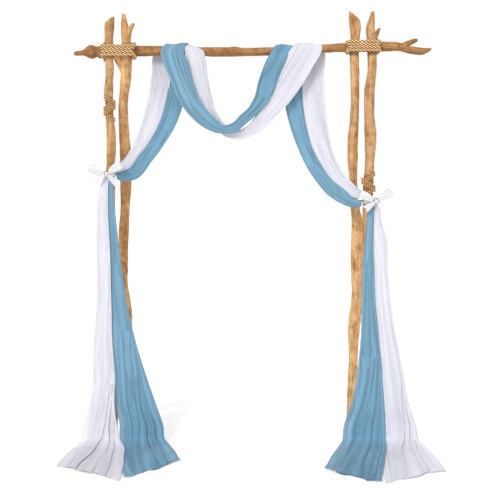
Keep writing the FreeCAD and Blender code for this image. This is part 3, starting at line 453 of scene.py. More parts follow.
def binding_surface(x, cross_y, top, thick, way, groups):
    """Turns of thin cord round a post in groups that lean alternate ways; the middle group
    is laid over the other two. way is the side that the first group rises to."""
    surface = Surface()
    spacing, lean = BINDING_DIA * 1.36, 0.62
    turn = np.linspace(-0.5 * np.pi, 1.5 * np.pi, 61)
    height = top - BINDING_DIA / 2 - POST_DIA * thick / 2 * lean
    for k, count in enumerate(groups):
        radius = POST_DIA * thick / 2 + BINDING_DIA * (0.40 + 0.35 * (k % 2))
        for _ in range(count):
            aside = np.sin(turn + np.pi) * radius
            z = height + aside * lean * way * (-1) ** k
            foot = part_way(OUTER_FOOT, cross_y, z / BEAM_Z)
            route = np.stack([x + aside, foot + np.cos(turn + np.pi) * radius, z], 1)
            rope_grid(surface, np.roll(route[:-1], 15, axis=0), BINDING_DIA, BINDING_LAY)
            height -= spacing
        height -= BINDING_DIA * 1.1
    return surface


# Cloth
SADDLE_THICK, SADDLE_LIFT = 6.0, 1.6
SIDE_THICK, MIDDLE_THICK, WIDER = 15.0, 13.0, 5
HEM_WAVE, FLOOR_GAP = 7.0, 0.6


def over_beam(x_side, x_top, up, beam_share, layer, widths, way):
    """Rows of a band from the beam's top down one side of it, in mm: way 1 to the back,
    -1 to the front. widths are those on top and at the side."""
    radius = BEAM_DIA * beam_share / 2 + CLEAR + SADDLE_THICK * (layer + 0.5) + SADDLE_LIFT
    rows = []
    for angle in (0, 15, 30, 45, 60, 75, 90):
        share = angle / 90
        rows.append((part_way(x_top, x_side, share), BEAM_Y + radius * math.sin(math.radians(angle)) * way,
                     BEAM_Z + up + radius * math.cos(math.radians(angle)),
                     part_way(widths[0], widths[1], share), SADDLE_THICK, 0))
    return rows


def side_rows(tie, crest, rows):
    """Rows of a side swag from the tie up to the beam: (share of the way to the crest,
    share of the rise, distance behind the beam, width, angle of the width)."""
    return [(part_way(tie[0], crest, s), BEAM_Y + y, part_way(tie[1], BEAM_Z, t), w + WIDER,
             SIDE_THICK, a) for s, t, y, w, a in rows]


def middle_rows(rows):
    """Rows of the middle swag: (share between the crests, share of the drop, distance in
    front of the beam, width, angle of the width)."""
    return [(part_way(LEFT_CREST, RIGHT_CREST, s), BEAM_Y - y, BEAM_Z - SWAG_DROP * t, w + WIDER,
             MIDDLE_THICK, a) for s, t, y, w, a in rows]


def swag_line(left, left_back, left_front, middle, right_front, right_back, right):
    """The whole hanging line of one panel between the ties: rows (x, y, z, width,
    thickness, width direction)."""
    rows = list(left) + left_back[::-1] + left_front[1:] + list(middle)
    turned = right_front[::-1] + right_back[1:] + right[::-1]
    rows += [row[:5] + (row[5] + 180,) for row in turned]
    return [row[:5] + (math.cos(math.radians(row[5])), 0.0, math.sin(math.radians(row[5]))) for row in rows]


WHITE_SWAGS = swag_line(
    side_rows(LEFT_TIE, LEFT_CREST, [
        (0.090, 0.036, -96, 34, -76), (0.141, 0.047, -86, 40, -77), (0.225, 0.066, -72, 60, -64),
        (0.347, 0.158, -45, 64, -40), (0.450, 0.276, -20, 68, -13), (0.566, 0.442, 0, 84, -10),
        (0.642, 0.616, 16, 92, -3), (0.702, 0.800, 28, 94, 0)]),
    over_beam(LEFT_CREST - 90, LEFT_CREST - 14, 0, 0.93, 0, (84, 84), 1),
    over_beam(LEFT_CREST + 57, LEFT_CREST - 14, 0, 0.93, 0, (84, 96), -1),
    middle_rows([
        (0.122, 0.120, 34, 92, 0), (0.149, 0.360, 27, 84, 0), (0.202, 0.620, 16, 68, -4),
        (0.251, 0.787, 12, 50, 6), (0.310, 0.915, 10, 42, 20), (0.371, 1.027, 12, 42, 45),
        (0.476, 1.077, 17, 42, 76), (0.586, 1.027, 20, 52, 117), (0.691, 0.883, 24, 72, 123),
        (0.800, 0.697, 26, 86, 140), (0.903, 0.449, 28, 118, 151), (1.006, 0.180, 30, 142, 169)]),
    over_beam(RIGHT_CREST + 43, RIGHT_CREST + 58, 9, 0.82, 0, (127, 156), -1),
    over_beam(RIGHT_CREST + 86, RIGHT_CREST + 58, 9, 0.82, 0, (127, 102), 1),
    side_rows(RIGHT_TIE, RIGHT_CREST, [
        (0.124, 0.042, -111, 34, 76), (0.200, 0.052, -100, 42, 66), (0.322, 0.088, -76, 62, 38),
        (0.452, 0.150, -46, 80, 14), (0.586, 0.276, -20, 72, 11), (0.696, 0.443, 0, 96, 3),
        (0.760, 0.642, 16, 106, 0), (0.772, 0.820, 28, 104, 0)]))
BLUE_SWAGS = swag_line(
    side_rows(LEFT_TIE, LEFT_CREST, [
        (0.098, -0.022, -97, 30, -80), (0.166, -0.024, -86, 42, -79), (0.300, -0.005, -72, 58, -64),
        (0.480, 0.120, -45, 64, -23), (0.638, 0.253, -20, 66, -12), (0.790, 0.418, 0, 76, -11),
        (0.889, 0.607, 16, 84, -3), (0.946, 0.790, 36, 84, 0)]),
    over_beam(LEFT_CREST + 4, LEFT_CREST - 22, 0, 0.93, 1, (93, 82), 1),
    over_beam(LEFT_CREST - 44, LEFT_CREST - 22, 0, 0.93, 1, (93, 108), -1),
    middle_rows([
        (-0.057, 0.120, 42, 112, 0), (-0.007, 0.362, 41, 100, 0), (0.065, 0.636, 41, 88, 9),
        (0.138, 0.787, 42, 80, 23), (0.212, 0.891, 44, 72, 34), (0.281, 0.965, 45, 54, 51),
        (0.346, 1.000, 45, 38, 90), (0.455, 0.979, 45, 44, 108), (0.525, 0.883, 43, 44, 122),
        (0.619, 0.761, 43, 48, 148), (0.692, 0.614, 43, 70, 172), (0.750, 0.367, 43, 88, 177),
        (0.817, 0.120, 42, 92, 180)]),
    over_beam(RIGHT_CREST - 77, RIGHT_CREST - 52, 3, 0.80, 0, (92, 94), -1),
    over_beam(RIGHT_CREST - 24, RIGHT_CREST - 52, 3, 0.80, 0, (92, 96), 1),
    side_rows(RIGHT_TIE, RIGHT_CREST, [
        (0.136, -0.016, -111, 32, 76), (0.210, -0.018, -102, 40, 60), (0.438, 0.042, -76, 66, 36),
        (0.628, 0.133, -46, 68, 10), (0.786, 0.253, -20, 64, 12), (0.938, 0.433, 0, 70, 8),
        (1.030, 0.632, 16, 84, 6), (1.046, 0.810, 28, 90, 0)]))


def tail_line(tie, post_y, reach, rows, hem):
    """A tail down the front of an outer post and its train on the floor. rows are (share
    of the height, offset beside the tie, width, thickness); hem is the two ends of the
    cloth's lower edge on the floor."""
    line = []
    for t, x, width, thick in rows:
        z = part_way(TRAIN_THICK + CLEAR, tie[1], t)
        front = part_way(OUTER_FOOT, post_y, z / BEAM_Z) - POST_DIA * reach / 2 - CLEAR
        line.append((tie[0] + x, front - thick / 2, z, width + WIDER, thick * 0.62, 1.0, 0.0, 0.0))
    x, y, width = line[-1][0], line[-1][1], line[-1][3]
    left, right = np.array(hem[0], float), np.array(hem[1], float)
    centre, edge = (left + right) / 2, right - left
    wide = float(np.hypot(*edge))
    edge = edge / wide
    line.append((part_way(x, centre[0], 0.04), y - 16, 30, part_way(width, wide, 0.10), 19, 1.0, 0.0, 0.0))
    for share, z, thick in ((0.16, 13, 17), (0.42, 10.5, 14), (0.70, 8.5, 11), (1.0, 6, 8)):
        line.append((part_way(x, centre[0], share), part_way(y, centre[1], share), z,
                     part_way(width, wide, 0.25 + 0.75 * share), thick,
                     part_way(1.0, edge[0], share), part_way(0.0, edge[1], share), 0.0))
    return line


def floor_spot(pair_x, across, forward):
    """A place on the floor, as shares of a train's width and reach."""
    return pair_x + TRAIN_WIDTH * across, OUTER_FOOT - POST_DIA * 0.6 - TRAIN_REACH * forward


TAILS = {
    "left_white": (LEFT_TIE, LEFT_OUTER_Y, 1.10, [
        (1.006, -13, 25, 22), (0.988, -13, 25, 22), (0.968, -21, 29, 22), (0.920, -33, 42, 22),
        (0.795, -39, 58, 22), (0.690, -40, 66, 22), (0.540, -41, 70, 24), (0.390, -50, 88, 26),
        (0.240, -52, 110, 28), (0.135, -63, 132, 30), (0.055, -73, 172, 32)],
        (floor_spot(LEFT_PAIR, -0.460, 0.58), floor_spot(LEFT_PAIR, 0.074, 0.90))),
    "left_blue": (LEFT_TIE, LEFT_OUTER_Y, 1.10, [
        (1.006, 13, 25, 22), (0.988, 13, 25, 22), (0.968, 8, 22, 20), (0.920, 5, 28, 20),
        (0.795, 12, 38, 20), (0.690, 21, 49, 22), (0.540, 33, 73, 24), (0.390, 56, 110, 26),
        (0.240, 87, 153, 28), (0.135, 110, 198, 30), (0.055, 136, 224, 32)],
        (floor_spot(LEFT_PAIR, 0.094, 0.86), floor_spot(LEFT_PAIR, 0.490, 0.47))),
    "right_blue": (RIGHT_TIE, RIGHT_OUTER_Y, 1.30, [
        (1.004, -3, 25, 22), (0.986, -3, 25, 22), (0.970, -4, 26, 22), (0.935, -5, 27, 20),
        (0.840, -10, 35, 20), (0.720, -11, 52, 22), (0.595, -7, 60, 24), (0.450, 1, 83, 26),
        (0.280, 5, 122, 28), (0.150, -2, 163, 30), (0.055, -15, 214, 32)],
        (floor_spot(RIGHT_PAIR, -0.320, 0.66), floor_spot(RIGHT_PAIR, 0.080, 0.96))),
    "right_white": (RIGHT_TIE, RIGHT_OUTER_Y, 1.30, [
        (1.004, 24, 25, 22), (0.986, 24, 25, 22), (0.970, 25, 26, 22), (0.935, 27, 32, 22),
        (0.840, 43, 66, 22), (0.720, 51, 67, 22), (0.595, 63, 75, 24), (0.450, 88, 86, 26),
        (0.280, 121, 102, 28), (0.150, 145, 124, 30), (0.055, 169, 148, 32)],
        (floor_spot(RIGHT_PAIR, 0.098, 0.97), floor_spot(RIGHT_PAIR, 0.610, 0.68))),
}


def pleated_grid(surface, line, folds, flat_width, seed, hem=0.0, step=6.5, fine=9):
    """Cloth gathered in folds that lean over each other. With u running from 0 to twice
    the folds, its section is x = p g(u) / 2 - c cos(pi u) / 2 + 0.1 p sin(2 pi u) and
    y = -t cos(pi u) / 2: t is the bundle's thickness, c the lean that gives each leg its
    share of the flat width, p what is left of the bundle's width for each fold, and g
    spaces them unevenly. Slow waves along the cloth bend the section without crossing it,
    and its edges thin out like a lens. The last rows run on by waves of hem millimetres."""
    line = spline(line, step)
    s = run_of(line)
    width, thick = line[:, 3][:, None], line[:, 4][:, None]
    leg = flat_width / (2 * folds)
    lean = np.minimum(np.sqrt(np.maximum(leg**2 - thick**2, 0)), 0.78 * width)
    pitch = (width - lean) / folds
    u = np.linspace(0, 2 * folds, 2 * folds * fine + 1)[None]
    drift = wander(s / 420, seed)[:, None] * 1.2
    g = u + 0.34 * np.sin(1.9 * u + seed + drift) + 0.16 * np.sin(3.7 * u + 2 * seed - drift)
    g = (g - g[:, :1]) / (g[:, -1:] - g[:, :1]) * 2 * folds
    x = pitch * g / 2 - lean / 2 * np.cos(np.pi * u) + 0.10 * pitch * np.sin(2 * np.pi * u)
    x = x - (x.max(1, keepdims=True) + x.min(1, keepdims=True)) / 2
    x = x * width / (x.max(1, keepdims=True) - x.min(1, keepdims=True))
    y = -thick / 2 * np.cos(np.pi * u)
    half = x / (width / 2)
    y = y * (0.74 + 0.14 * np.sin(4.1 * half + seed + 2.2 * drift) + 0.12 * np.sin(9.3 * half - seed + drift))
    y = y * np.sqrt(1 - 0.72 * np.clip(half, -1, 1) ** 2)
    ripple = np.sin(2.6 * np.pi * g + 3 * drift + seed) + 0.6 * np.sin(4.7 * np.pi * g - 4 * drift)
    y = y + 0.09 * np.minimum(thick, 22) * ripple
    y = y + 0.022 * np.minimum(width, 220) * np.sin(3.4 * half + 2.5 * drift + s[:, None] / 260 + seed)
    x = x + width * 0.018 * np.sin(11 * half + 3 * drift + seed)
    along = unit(np.gradient(line[:, :3], axis=0))
    across = unit(line[:, 5:8])
    normal = unit(np.cross(along, across))
    points = line[:, None, :3] + x[..., None] * across[:, None] + y[..., None] * normal[:, None]
    lower = np.clip((s - s[-1] + 110) / 110, 0, 1)[:, None] ** 2
    wave = np.sin(6.5 * half + seed) + 0.5 * np.sin(14 * half)
    points = points + (hem * lower * wave)[..., None] * along[:, None]
    points[..., 2] = np.maximum(points[..., 2], FLOOR_GAP)
    uv = np.stack(np.broadcast_arrays(u / (2 * folds) * flat_width / 1000, s[:, None] / 1000), -1)
    share = (s / s[-1])[:, None] + 0 * u
    surface.grid(points, uv, deep=share**2.2 if hem else 0.25 + 0.25 * np.sin(9 * share + seed))
    return s[-1] / 1000


# Ribbon: rows of (distance from the knot, width)
LOOP = [(4, 10), (26, 27), (50, 37), (74, 41), (88, 35)]
TAIL = [(8, 11), (30, 24), (52, 33), (70, 38)]
BACK = np.array((0.0, 1.0, 0.0))
# Directions of the loops and of the tails as seen from the front, and the tie band
BOWS = {
    "left": ([(-83, 29), (63, 44)], [(49, -44), (-66, -34)],
             (LEFT_TIE[0] - 26.6, LEFT_TIE[0] + 26.6, LEFT_OUTER_Y, 1.10, LEFT_TIE[1], 0.22)),
    "right": ([(-83, 39), (78, 49)], [(-63, -44), (58, -58)],
              (RIGHT_OUTER_X - 7.9 - POST_DIA * 0.54, RIGHT_TIE[0] + 37.6, RIGHT_OUTER_Y, 1.30,
               RIGHT_TIE[1], 0.0)),
}


def arm_frame(direction):
    """Unit vectors along and across a loop or tail that lies in the front plane."""
    way = unit(np.array((direction[0], 0.0, direction[1])))
    return way, np.array((-way[2], 0.0, way[0]))


def loop_grid(surface, knot, direction, seed):
    """A loop of ribbon: out from the knot along a flattened drop and back behind itself.
    At share q it is far = 88 sin(pi q)^0.75 out and up to 11 sin(2 pi q) in front, its
    width follows LOOP, and it is cupped and pleated towards the knot."""
    way, across = arm_frame(direction)
    q = np.linspace(0.035, 0.965, 90)[:, None]
    t = np.linspace(-1, 1, 31)[None]
    far = 88 * np.sin(np.pi * q) ** 0.75
    width = np.interp(far[:, 0], *np.array(LOOP).T)[:, None]
    near = np.clip(1 - far / 60, 0, 1)
    forward = 8.5 * np.sin(2 * np.pi * q) * np.clip(far / 40, 0, 1) + 2.4 * np.sin(2 * np.pi * q)
    forward = forward + 3.2 * (1 - t**2) * np.sin(np.pi * q) * np.sign(np.cos(np.pi * q) + 1e-9)
    forward = forward + 1.6 * near * np.sin(9 * t + seed) + 0.5 * np.sin(far / 11 + 4 * t + seed)
    side = t * width / 2 + 1.2 * np.sin(far / 23 + seed)
    points = knot + far[..., None] * way + side[..., None] * across - forward[..., None] * BACK
    uv = np.stack(np.broadcast_arrays(t * 0.019, q * 0.2), -1)
    surface.grid(points, uv, deep=0.0)


def tail_grid(surface, knot, direction, seed):
    """An end of the ribbon: it widens from the knot, ripples and ends in a notch."""
    way, across = arm_frame(direction)
    q = np.linspace(0, 1, 60)[:, None]
    t = np.linspace(-1, 1, 31)[None]
    far = 9 + q * (61 - 9 * (1 - np.abs(t)) * q**3)
    width = np.interp(far, *np.array(TAIL).T)
    forward = (2.5 + 2.2 * np.sin(far / 10 + seed) * q + 1.3 * (1 - q) * np.sin(8 * t)
               + 1.2 * q * np.cos(2.5 * t))
    points = knot + far[..., None] * way + (t * width / 2)[..., None] * across
    points = points - forward[..., None] * BACK
    uv = np.stack(np.broadcast_arrays(t * 0.019, q * 0.07), -1)
    surface.grid(points, uv, deep=0.0)


def knot_grid(surface, knot):
    """A small round knot with soft ribbon creases that run down it."""
    lat = np.linspace(-np.pi / 2 + 0.02, np.pi / 2 - 0.02, 40)[:, None]
    lon = (2 * np.pi * np.arange(56) / 56)[None]
    crease = 1 + 0.07 * np.sin(5 * lon + 1.2 * np.sin(2 * lat)) - 0.05 * np.cos(9 * lon)
    ball = np.stack([8.6 * np.cos(lat) * np.cos(lon) * crease, 6.8 * np.cos(lat) * np.sin(lon) * crease,
                     9.4 * np.sin(lat) + 0 * lon], -1)
    uv = np.stack(np.broadcast_arrays(lon / 60, lat / 60), -1)
    surface.grid(knot + ball, uv, wrap=True, ends=(True, True), deep=0.0)


def band_grid(surface, left, right, post_y, reach, z, snug):
    """The ribbon round post and cloth: a rounded rectangle, creased along its width."""
    axis = part_way(OUTER_FOOT, post_y, z / BEAM_Z)
    back = axis + POST_DIA * (reach - snug) / 2 + CLEAR
    front = axis - POST_DIA * reach / 2 - CLEAR * 3 - 22
    half_x, half_y, corner = (right - left) / 2 + 1, (back - front) / 2 + 1, 11.0
    middle = np.array(((left + right) / 2, (back + front) / 2))
    steps = 160
    turn = (2 * np.pi * np.arange(steps) / steps)[:, None]
    ray = np.concatenate([np.cos(turn), np.sin(turn)], 1)
    box = np.array((half_x, half_y)) - corner
    spot = np.sign(ray) * np.minimum(np.abs(ray) * 400, box) + corner * ray
    v = np.linspace(-1, 1, 23)[None]
    out = 0.55 * np.cos(v * 9 + 0.8 * np.sin(3 * turn)) * (1 - v**4)
    flat = (middle + spot)[:, None] + ray[:, None] * out[..., None]
    points = np.concatenate([flat, np.broadcast_to((z + v * 10.8)[..., None], flat.shape[:2] + (1,))], -1)
    points = np.concatenate([points, points[:1]])
    run = np.arange(steps + 1)[:, None] / (steps + 1) * 0.3
    uv = np.stack(np.broadcast_arrays(v * 0.011, run), -1)
    surface.grid(points, uv, deep=0.0)


# Materials
def new_group(name, inputs, outputs):
    """An empty node group with the named sockets; returns it with its two end nodes."""
    group = bpy.data.node_groups.new(name, "ShaderNodeTree")
    for label, kind, value in inputs:
        socket = group.interface.new_socket(name=label, in_out="INPUT", socket_type=kind)
        if value is not None:
            socket.default_value = value
    for label, kind in outputs:
        group.interface.new_socket(name=label, in_out="OUTPUT", socket_type=kind)
    return group, group.nodes.new("NodeGroupInput"), group.nodes.new("NodeGroupOutput")


def shared_group(name, make):
    return bpy.data.node_groups.get(name) or make()


def node(tree, kind, **values):
    """A node whose inputs or settings take the named values."""
    made = tree.nodes.new(kind)
    for key, value in values.items():
        if key in made.inputs:
            made.inputs[key].default_value = value
        else:
            setattr(made, key, value)
    return made


def feed(tree, made, sources):
    """Give each numbered input of a node its source: a value, or an output to link."""
    for index, source in sources:
        if isinstance(source, bpy.types.NodeSocket):
            tree.links.new(source, made.inputs[index])
        else:
            made.inputs[index].default_value = source


def mix_colour(tree, mode, factor, first, second):
    made = node(tree, "ShaderNodeMix", data_type="RGBA", blend_type=mode)
    feed(tree, made, ((0, factor), (6, first), (7, second)))
    return made.outputs[2]


def maths(tree, operation, *sources, **settings):
    made = node(tree, "ShaderNodeMath", operation=operation, **settings)
    feed(tree, made, enumerate(sources))
    return made.outputs[0]


def ramp(tree, source, low, high, to_low=0.0, to_high=1.0):
    """Maps low..high of a source to to_low..to_high and stops at both ends."""
    made = node(tree, "ShaderNodeMapRange")
    feed(tree, made, enumerate((source, low, high, to_low, to_high)))
    return made.outputs["Result"]


def noise(tree, place, scale, detail, roughness):
    made = node(tree, "ShaderNodeTexNoise", Scale=scale, Detail=detail, Roughness=roughness)
    tree.links.new(place, made.inputs["Vector"])
    return made.outputs["Fac"]


def mark(tree, name):
    """A value that the mesh carries on its points."""
    return node(tree, "ShaderNodeAttribute", attribute_name=name).outputs["Fac"]


def stretched_flat(tree, across, along):
    """The cloth's or rope's own flat coordinate, and the same stretched for streaks."""
    flat = node(tree, "ShaderNodeUVMap", uv_map="Flat").outputs["UV"]
    stretch = node(tree, "ShaderNodeVectorMath", operation="MULTIPLY")
    feed(tree, stretch, ((0, flat), (1, (across, along, 1.0))))
    return flat, stretch.outputs[0]


def grain_group():
    """Weathered wood: streaks along the log, patches, blotches and specks of tone, knots,
    painted shade in cracks, in grooves and under ropes, and end grain."""
    group, given, out = new_group("weathered_grain", [
        ("Grain place", "NodeSocketVector", None), ("Place", "NodeSocketVector", None),
        ("Pale", "NodeSocketColor", (0.70, 0.49, 0.27, 1)),
        ("Deep", "NodeSocketColor", (0.30, 0.15, 0.05, 1))],
        [("Color", "NodeSocketColor"), ("Roughness", "NodeSocketFloat"), ("Height", "NodeSocketFloat")])
    along, place, pale, deep = (given.outputs[key] for key in ("Grain place", "Place", "Pale", "Deep"))
    end_grain = (0.74, 0.53, 0.32, 1)
    streak = noise(group, along, 1.0, 6.0, 0.62)
    fine = noise(group, along, 4.5, 3.0, 0.6)
    base = mix_colour(group, "MIX", ramp(group, streak, 0.36, 0.68), deep, pale)
    colour = mix_colour(group, "MIX", 0.55, pale, base)
    tones = (
        (noise(group, along, 0.16, 3.0, 0.5), 0.35, 0.68, 0.90, (0.66, 0.50, 0.34, 1)),
        (noise(group, place, 24.0, 5.0, 0.68), 0.46, 0.66, 0.85, (0.60, 0.42, 0.25, 1)),
        (noise(group, place, 105.0, 3.0, 0.6), 0.45, 0.72, 0.70, (0.66, 0.52, 0.38, 1)),
    )
    for source, low, high, most, tint in tones:
        colour = mix_colour(group, "MULTIPLY", ramp(group, source, low, high, 0.0, most), colour, tint)
    # Painted shade in cracks, grooves and under ropes, and the own tone of knots and end rings
    tone_and_shade_share = ramp(group, mark(group, "dark"), 0.12, 1.1, 0.0, 0.82)
    colour = mix_colour(group, "MIX", tone_and_shade_share, colour, deep)
    colour = mix_colour(group, "MIX", ramp(group, mark(group, "end"), 0, 1, 0, 0.45), colour, end_grain)
    group.links.new(colour, out.inputs["Color"])
    group.links.new(ramp(group, streak, 0.2, 0.8, 0.86, 0.62), out.inputs["Roughness"])
    group.links.new(maths(group, "MULTIPLY_ADD", fine, 0.35, streak), out.inputs["Height"])
    return group


def weave_group():
    """Fine cloth of crossing threads, with streaks of painted shade along it that stand for fine creases, and
    a tone that drifts along it towards the hem tint.
    """
    group, given, out = new_group("chiffon_weave", [
        ("Light", "NodeSocketColor", (0.8, 0.8, 0.85, 1)), ("Shade", "NodeSocketColor", (0.6, 0.6, 0.7, 1)),
        ("Threads per m", "NodeSocketFloat", 900.0), ("Cover", "NodeSocketFloat", 0.9),
        ("Hem tint", "NodeSocketColor", (1, 1, 1, 1))],
        [("Color", "NodeSocketColor"), ("Alpha", "NodeSocketFloat"), ("Height", "NodeSocketFloat")])
    flat, streaked = stretched_flat(group, 60.0, 1.5)
    split = node(group, "ShaderNodeSeparateXYZ")
    group.links.new(flat, split.inputs["Vector"])
    waves = []
    for axis in ("X", "Y"):
        turns = maths(group, "MULTIPLY", split.outputs[axis], given.outputs["Threads per m"])
        waves.append(maths(group, "PINGPONG", turns, 1.0))
    thread = maths(group, "MAXIMUM", *waves)
    # Painted shade: streaks along the cloth mix it towards Shade as in fine creases
    tone = ramp(group, noise(group, streaked, 1.0, 3.0, 0.55), 0.40, 0.60)
    crease_shaded = mix_colour(group, "MIX", tone, given.outputs["Shade"], given.outputs["Light"])
    colour = mix_colour(group, "MULTIPLY", mark(group, "deep"), crease_shaded, given.outputs["Hem tint"])
    cover = maths(group, "MULTIPLY_ADD", thread, 0.10, given.outputs["Cover"], use_clamp=True)
    group.links.new(colour, out.inputs["Color"])
    group.links.new(cover, out.inputs["Alpha"])
    group.links.new(thread, out.inputs["Height"])
    return group


def new_material(name):
    made = bpy.data.materials.new(name)
    made.use_nodes = True
    return made, made.node_tree, made.node_tree.nodes["Principled BSDF"]


def relief(tree, shader, height, strength, distance):
    """Bump from a height, its distance in metres."""
    bump = node(tree, "ShaderNodeBump", Strength=strength, Distance=distance)
    tree.links.new(height, bump.inputs["Height"])
    tree.links.new(bump.outputs["Normal"], shader.inputs["Normal"])


def grouped_material(name, group, strength, distance, values, **inputs):
    """A material fed by one node group, whose own inputs take values."""
    made, tree, shader = new_material(name)
    box = tree.nodes.new("ShaderNodeGroup")
    box.node_tree = group
    tree.links.new(box.outputs["Color"], shader.inputs["Base Color"])
    relief(tree, shader, box.outputs["Height"], strength, distance)
    for output in ("Roughness", "Alpha"):
        if output in box.outputs:
            tree.links.new(box.outputs[output], shader.inputs[output])
    for key, value in values.items():
        box.inputs[key].default_value = value
    for key, value in inputs.items():
        shader.inputs[key.replace("_", " ")].default_value = value
    return made, box


def wood_material(name, stretch, pale, deep):
    """Driftwood; stretch scales the streaks along each axis, least along the log."""
    made, box = grouped_material(name, shared_group("weathered_grain", grain_group), 0.55, 0.0015,
                                 {"Pale": (*pale, 1), "Deep": (*deep, 1)})
    tree = made.node_tree
    place = node(tree, "ShaderNodeTexCoord").outputs["Object"]
    scaled = node(tree, "ShaderNodeMapping", Scale=stretch)
    tree.links.new(place, scaled.inputs["Vector"])
    tree.links.new(scaled.outputs["Vector"], box.inputs["Grain place"])
    tree.links.new(place, box.inputs["Place"])
    return made


def cloth_material(name, light, shade, cover, tint=(1, 1, 1), roughness=0.75):
    """Woven cloth; shade is the darkest tone of its painted crease shade as a share of light, tint its tone
    at the hem.
    """
    values = {"Light": (*light, 1), "Shade": (*(c * shade for c in light), 1), "Cover": cover,
              "Hem tint": (*tint, 1)}
    made, _ = grouped_material(name, shared_group("chiffon_weave", weave_group), 0.12, 0.0004, values,
                               Roughness=roughness, Sheen_Weight=0.25, Sheen_Roughness=0.5,
                               Specular_IOR_Level=0.25)
    return made


def rope_material(name, light, gap):
    """Twisted fibre: pale on the strands, painted shade in the grooves, streaked along the lay."""
    made, tree, shader = new_material(name)
    _, streaked = stretched_flat(tree, 22.0, 6.0)
    fibre = noise(tree, streaked, 1.0, 4.0, 0.6)
    worn = (light[0] * 0.96, light[1] * 0.88, light[2] * 0.76, 1)
    strand = mix_colour(tree, "MIX", ramp(tree, fibre, 0.35, 0.7), worn, (*light, 1))
    # Painted shade in the grooves between strands
    colour = mix_colour(tree, "MIX", ramp(tree, mark(tree, "gap"), 0.22, 0.72), strand, (*gap, 1))
    tree.links.new(colour, shader.inputs["Base Color"])
    relief(tree, shader, fibre, 0.5, 0.0006)
    shader.inputs["Roughness"].default_value = 0.85
    return made


# Sizes and colours a user would change
def colour_property(name, description, default):
    return FloatVectorProperty(name=name, description=description, subtype="COLOR",
                               default=default, min=0, max=1)


class ArchCloth(bpy.types.PropertyGroup):
    flat_width: FloatProperty(name="Panel width", description="Width of a chiffon panel laid flat",
                              default=0.70, min=0.5, max=0.9, unit="LENGTH")
    folds: IntProperty(name="Folds", description="Folds that a gathered panel is laid in",
                       default=5, min=3, max=12)
    blue: colour_property("Blue", "Colour of the blue chiffon", (0.225, 0.430, 0.580))
    white: colour_property("White", "Colour of the white chiffon", (0.82, 0.812, 0.89))
    ribbon: colour_property("Ribbon", "Colour of the tie ribbons", (0.79, 0.79, 0.80))


class ArchWood(bpy.types.PropertyGroup):
    pale: colour_property("Pale wood", "Weathered surface of the outer posts", (0.80, 0.52, 0.25))
    # Deep wood also gives the painted shade in cracks, in grooves and under the ropes
    deep: colour_property("Deep wood", "Cracks and knots", (0.25, 0.11, 0.032))
    rope: colour_property("Rope", "Colour of the rope", (1.0, 0.76, 0.44))


class ArchStage(bpy.types.PropertyGroup):
    key_light: FloatProperty(name="Key light", default=1.75, min=0, max=10,
                             description="Strength of the soft front sun in watts per square metre")
    fill: FloatProperty(name="Fill", default=0.56, min=0, max=2,
                        description="Strength of the light from all round")
    floor_lift: FloatProperty(name="Floor lift", default=0.22, min=0, max=1,
                              description="Light added where the camera sees the floor, "
                              "so that it meets the white background")


# Pieces
GRAIN_ACROSS, GRAIN_ALONG = 62, 4.5
# Painted light: the inner posts, further back and in more shade, get their pale wood lifted by this share
INNER_PAINTED_LIGHT = 1.24
BEAM_TINT = (0.68, 0.56, 0.42)
CORD_TINT = (1.0, 0.84, 0.70)
# Painted shade in the grooves between the strands of rope and cord
ROPE_GROOVE_SHADE, CORD_GROOVE_SHADE = (0.24, 0.088, 0.016), (0.16, 0.042, 0.006)
# Darkest painted crease shade as a share of the colour, cover, and tone at the hem
CHIFFONS = {"white": (0.87, 0.80, (0.90, 0.90, 0.90)), "blue": (0.66, 0.84, (0.58, 0.74, 0.82))}


def shown(surface, name, paint, nodes):
    """The finished piece, which replaces nodes and takes the material paint."""
    piece = surface.build(name, paint)
    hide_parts(*nodes)
    return piece


class ARCH_OT_logs(bpy.types.Operator):
    """Build the four posts and the crossbeam as weathered driftwood"""
    bl_idname = "arch.logs"
    bl_label = "Driftwood logs"

    def execute(self, context):
        wood = context.scene.arch_wood
        standing = (GRAIN_ACROSS, GRAIN_ACROSS, GRAIN_ALONG)
        lying = (GRAIN_ALONG, GRAIN_ACROSS, GRAIN_ACROSS)
        # Painted light: a lighter copy of the pale wood for the inner posts
        inner_lit_pale = [min(1.0, part * INNER_PAINTED_LIGHT) for part in wood.pale]
        beam_pale = [part * share for part, share in zip(wood.pale, BEAM_TINT)]
        paints = {"outer": wood_material("driftwood_upright", standing, wood.pale, wood.deep),
                  "inner": wood_material("driftwood_inner", standing, inner_lit_pale, wood.deep)}
        level = wood_material("driftwood_level", lying, beam_pale, wood.deep)
        for k, (name, values) in enumerate(POSTS.items()):
            side, place, _ = name.split("_")
            # Painted shade on the posts behind the lashing and, on the outer posts, behind the binding's
            # cords
            shaded = [(2, BEAM_Z - LASHING_PITCH * 2, BEAM_Z + LASHING_PITCH * 2)]
            if place == "outer":
                top = BINDINGS[f"{side}_post_binding"][2]
                shaded.append((2, top - BINDING_SHADE[0], top - BINDING_SHADE[1]))
            surface = post_surface(*values, seed=31 + 50 * k, shaded=shaded)
            shown(surface, f"{name}_log", paints[place], [name])
        shown(beam_surface(seed=400), "crossbeam_log", level, ["crossbeam"])
        return {"FINISHED"}


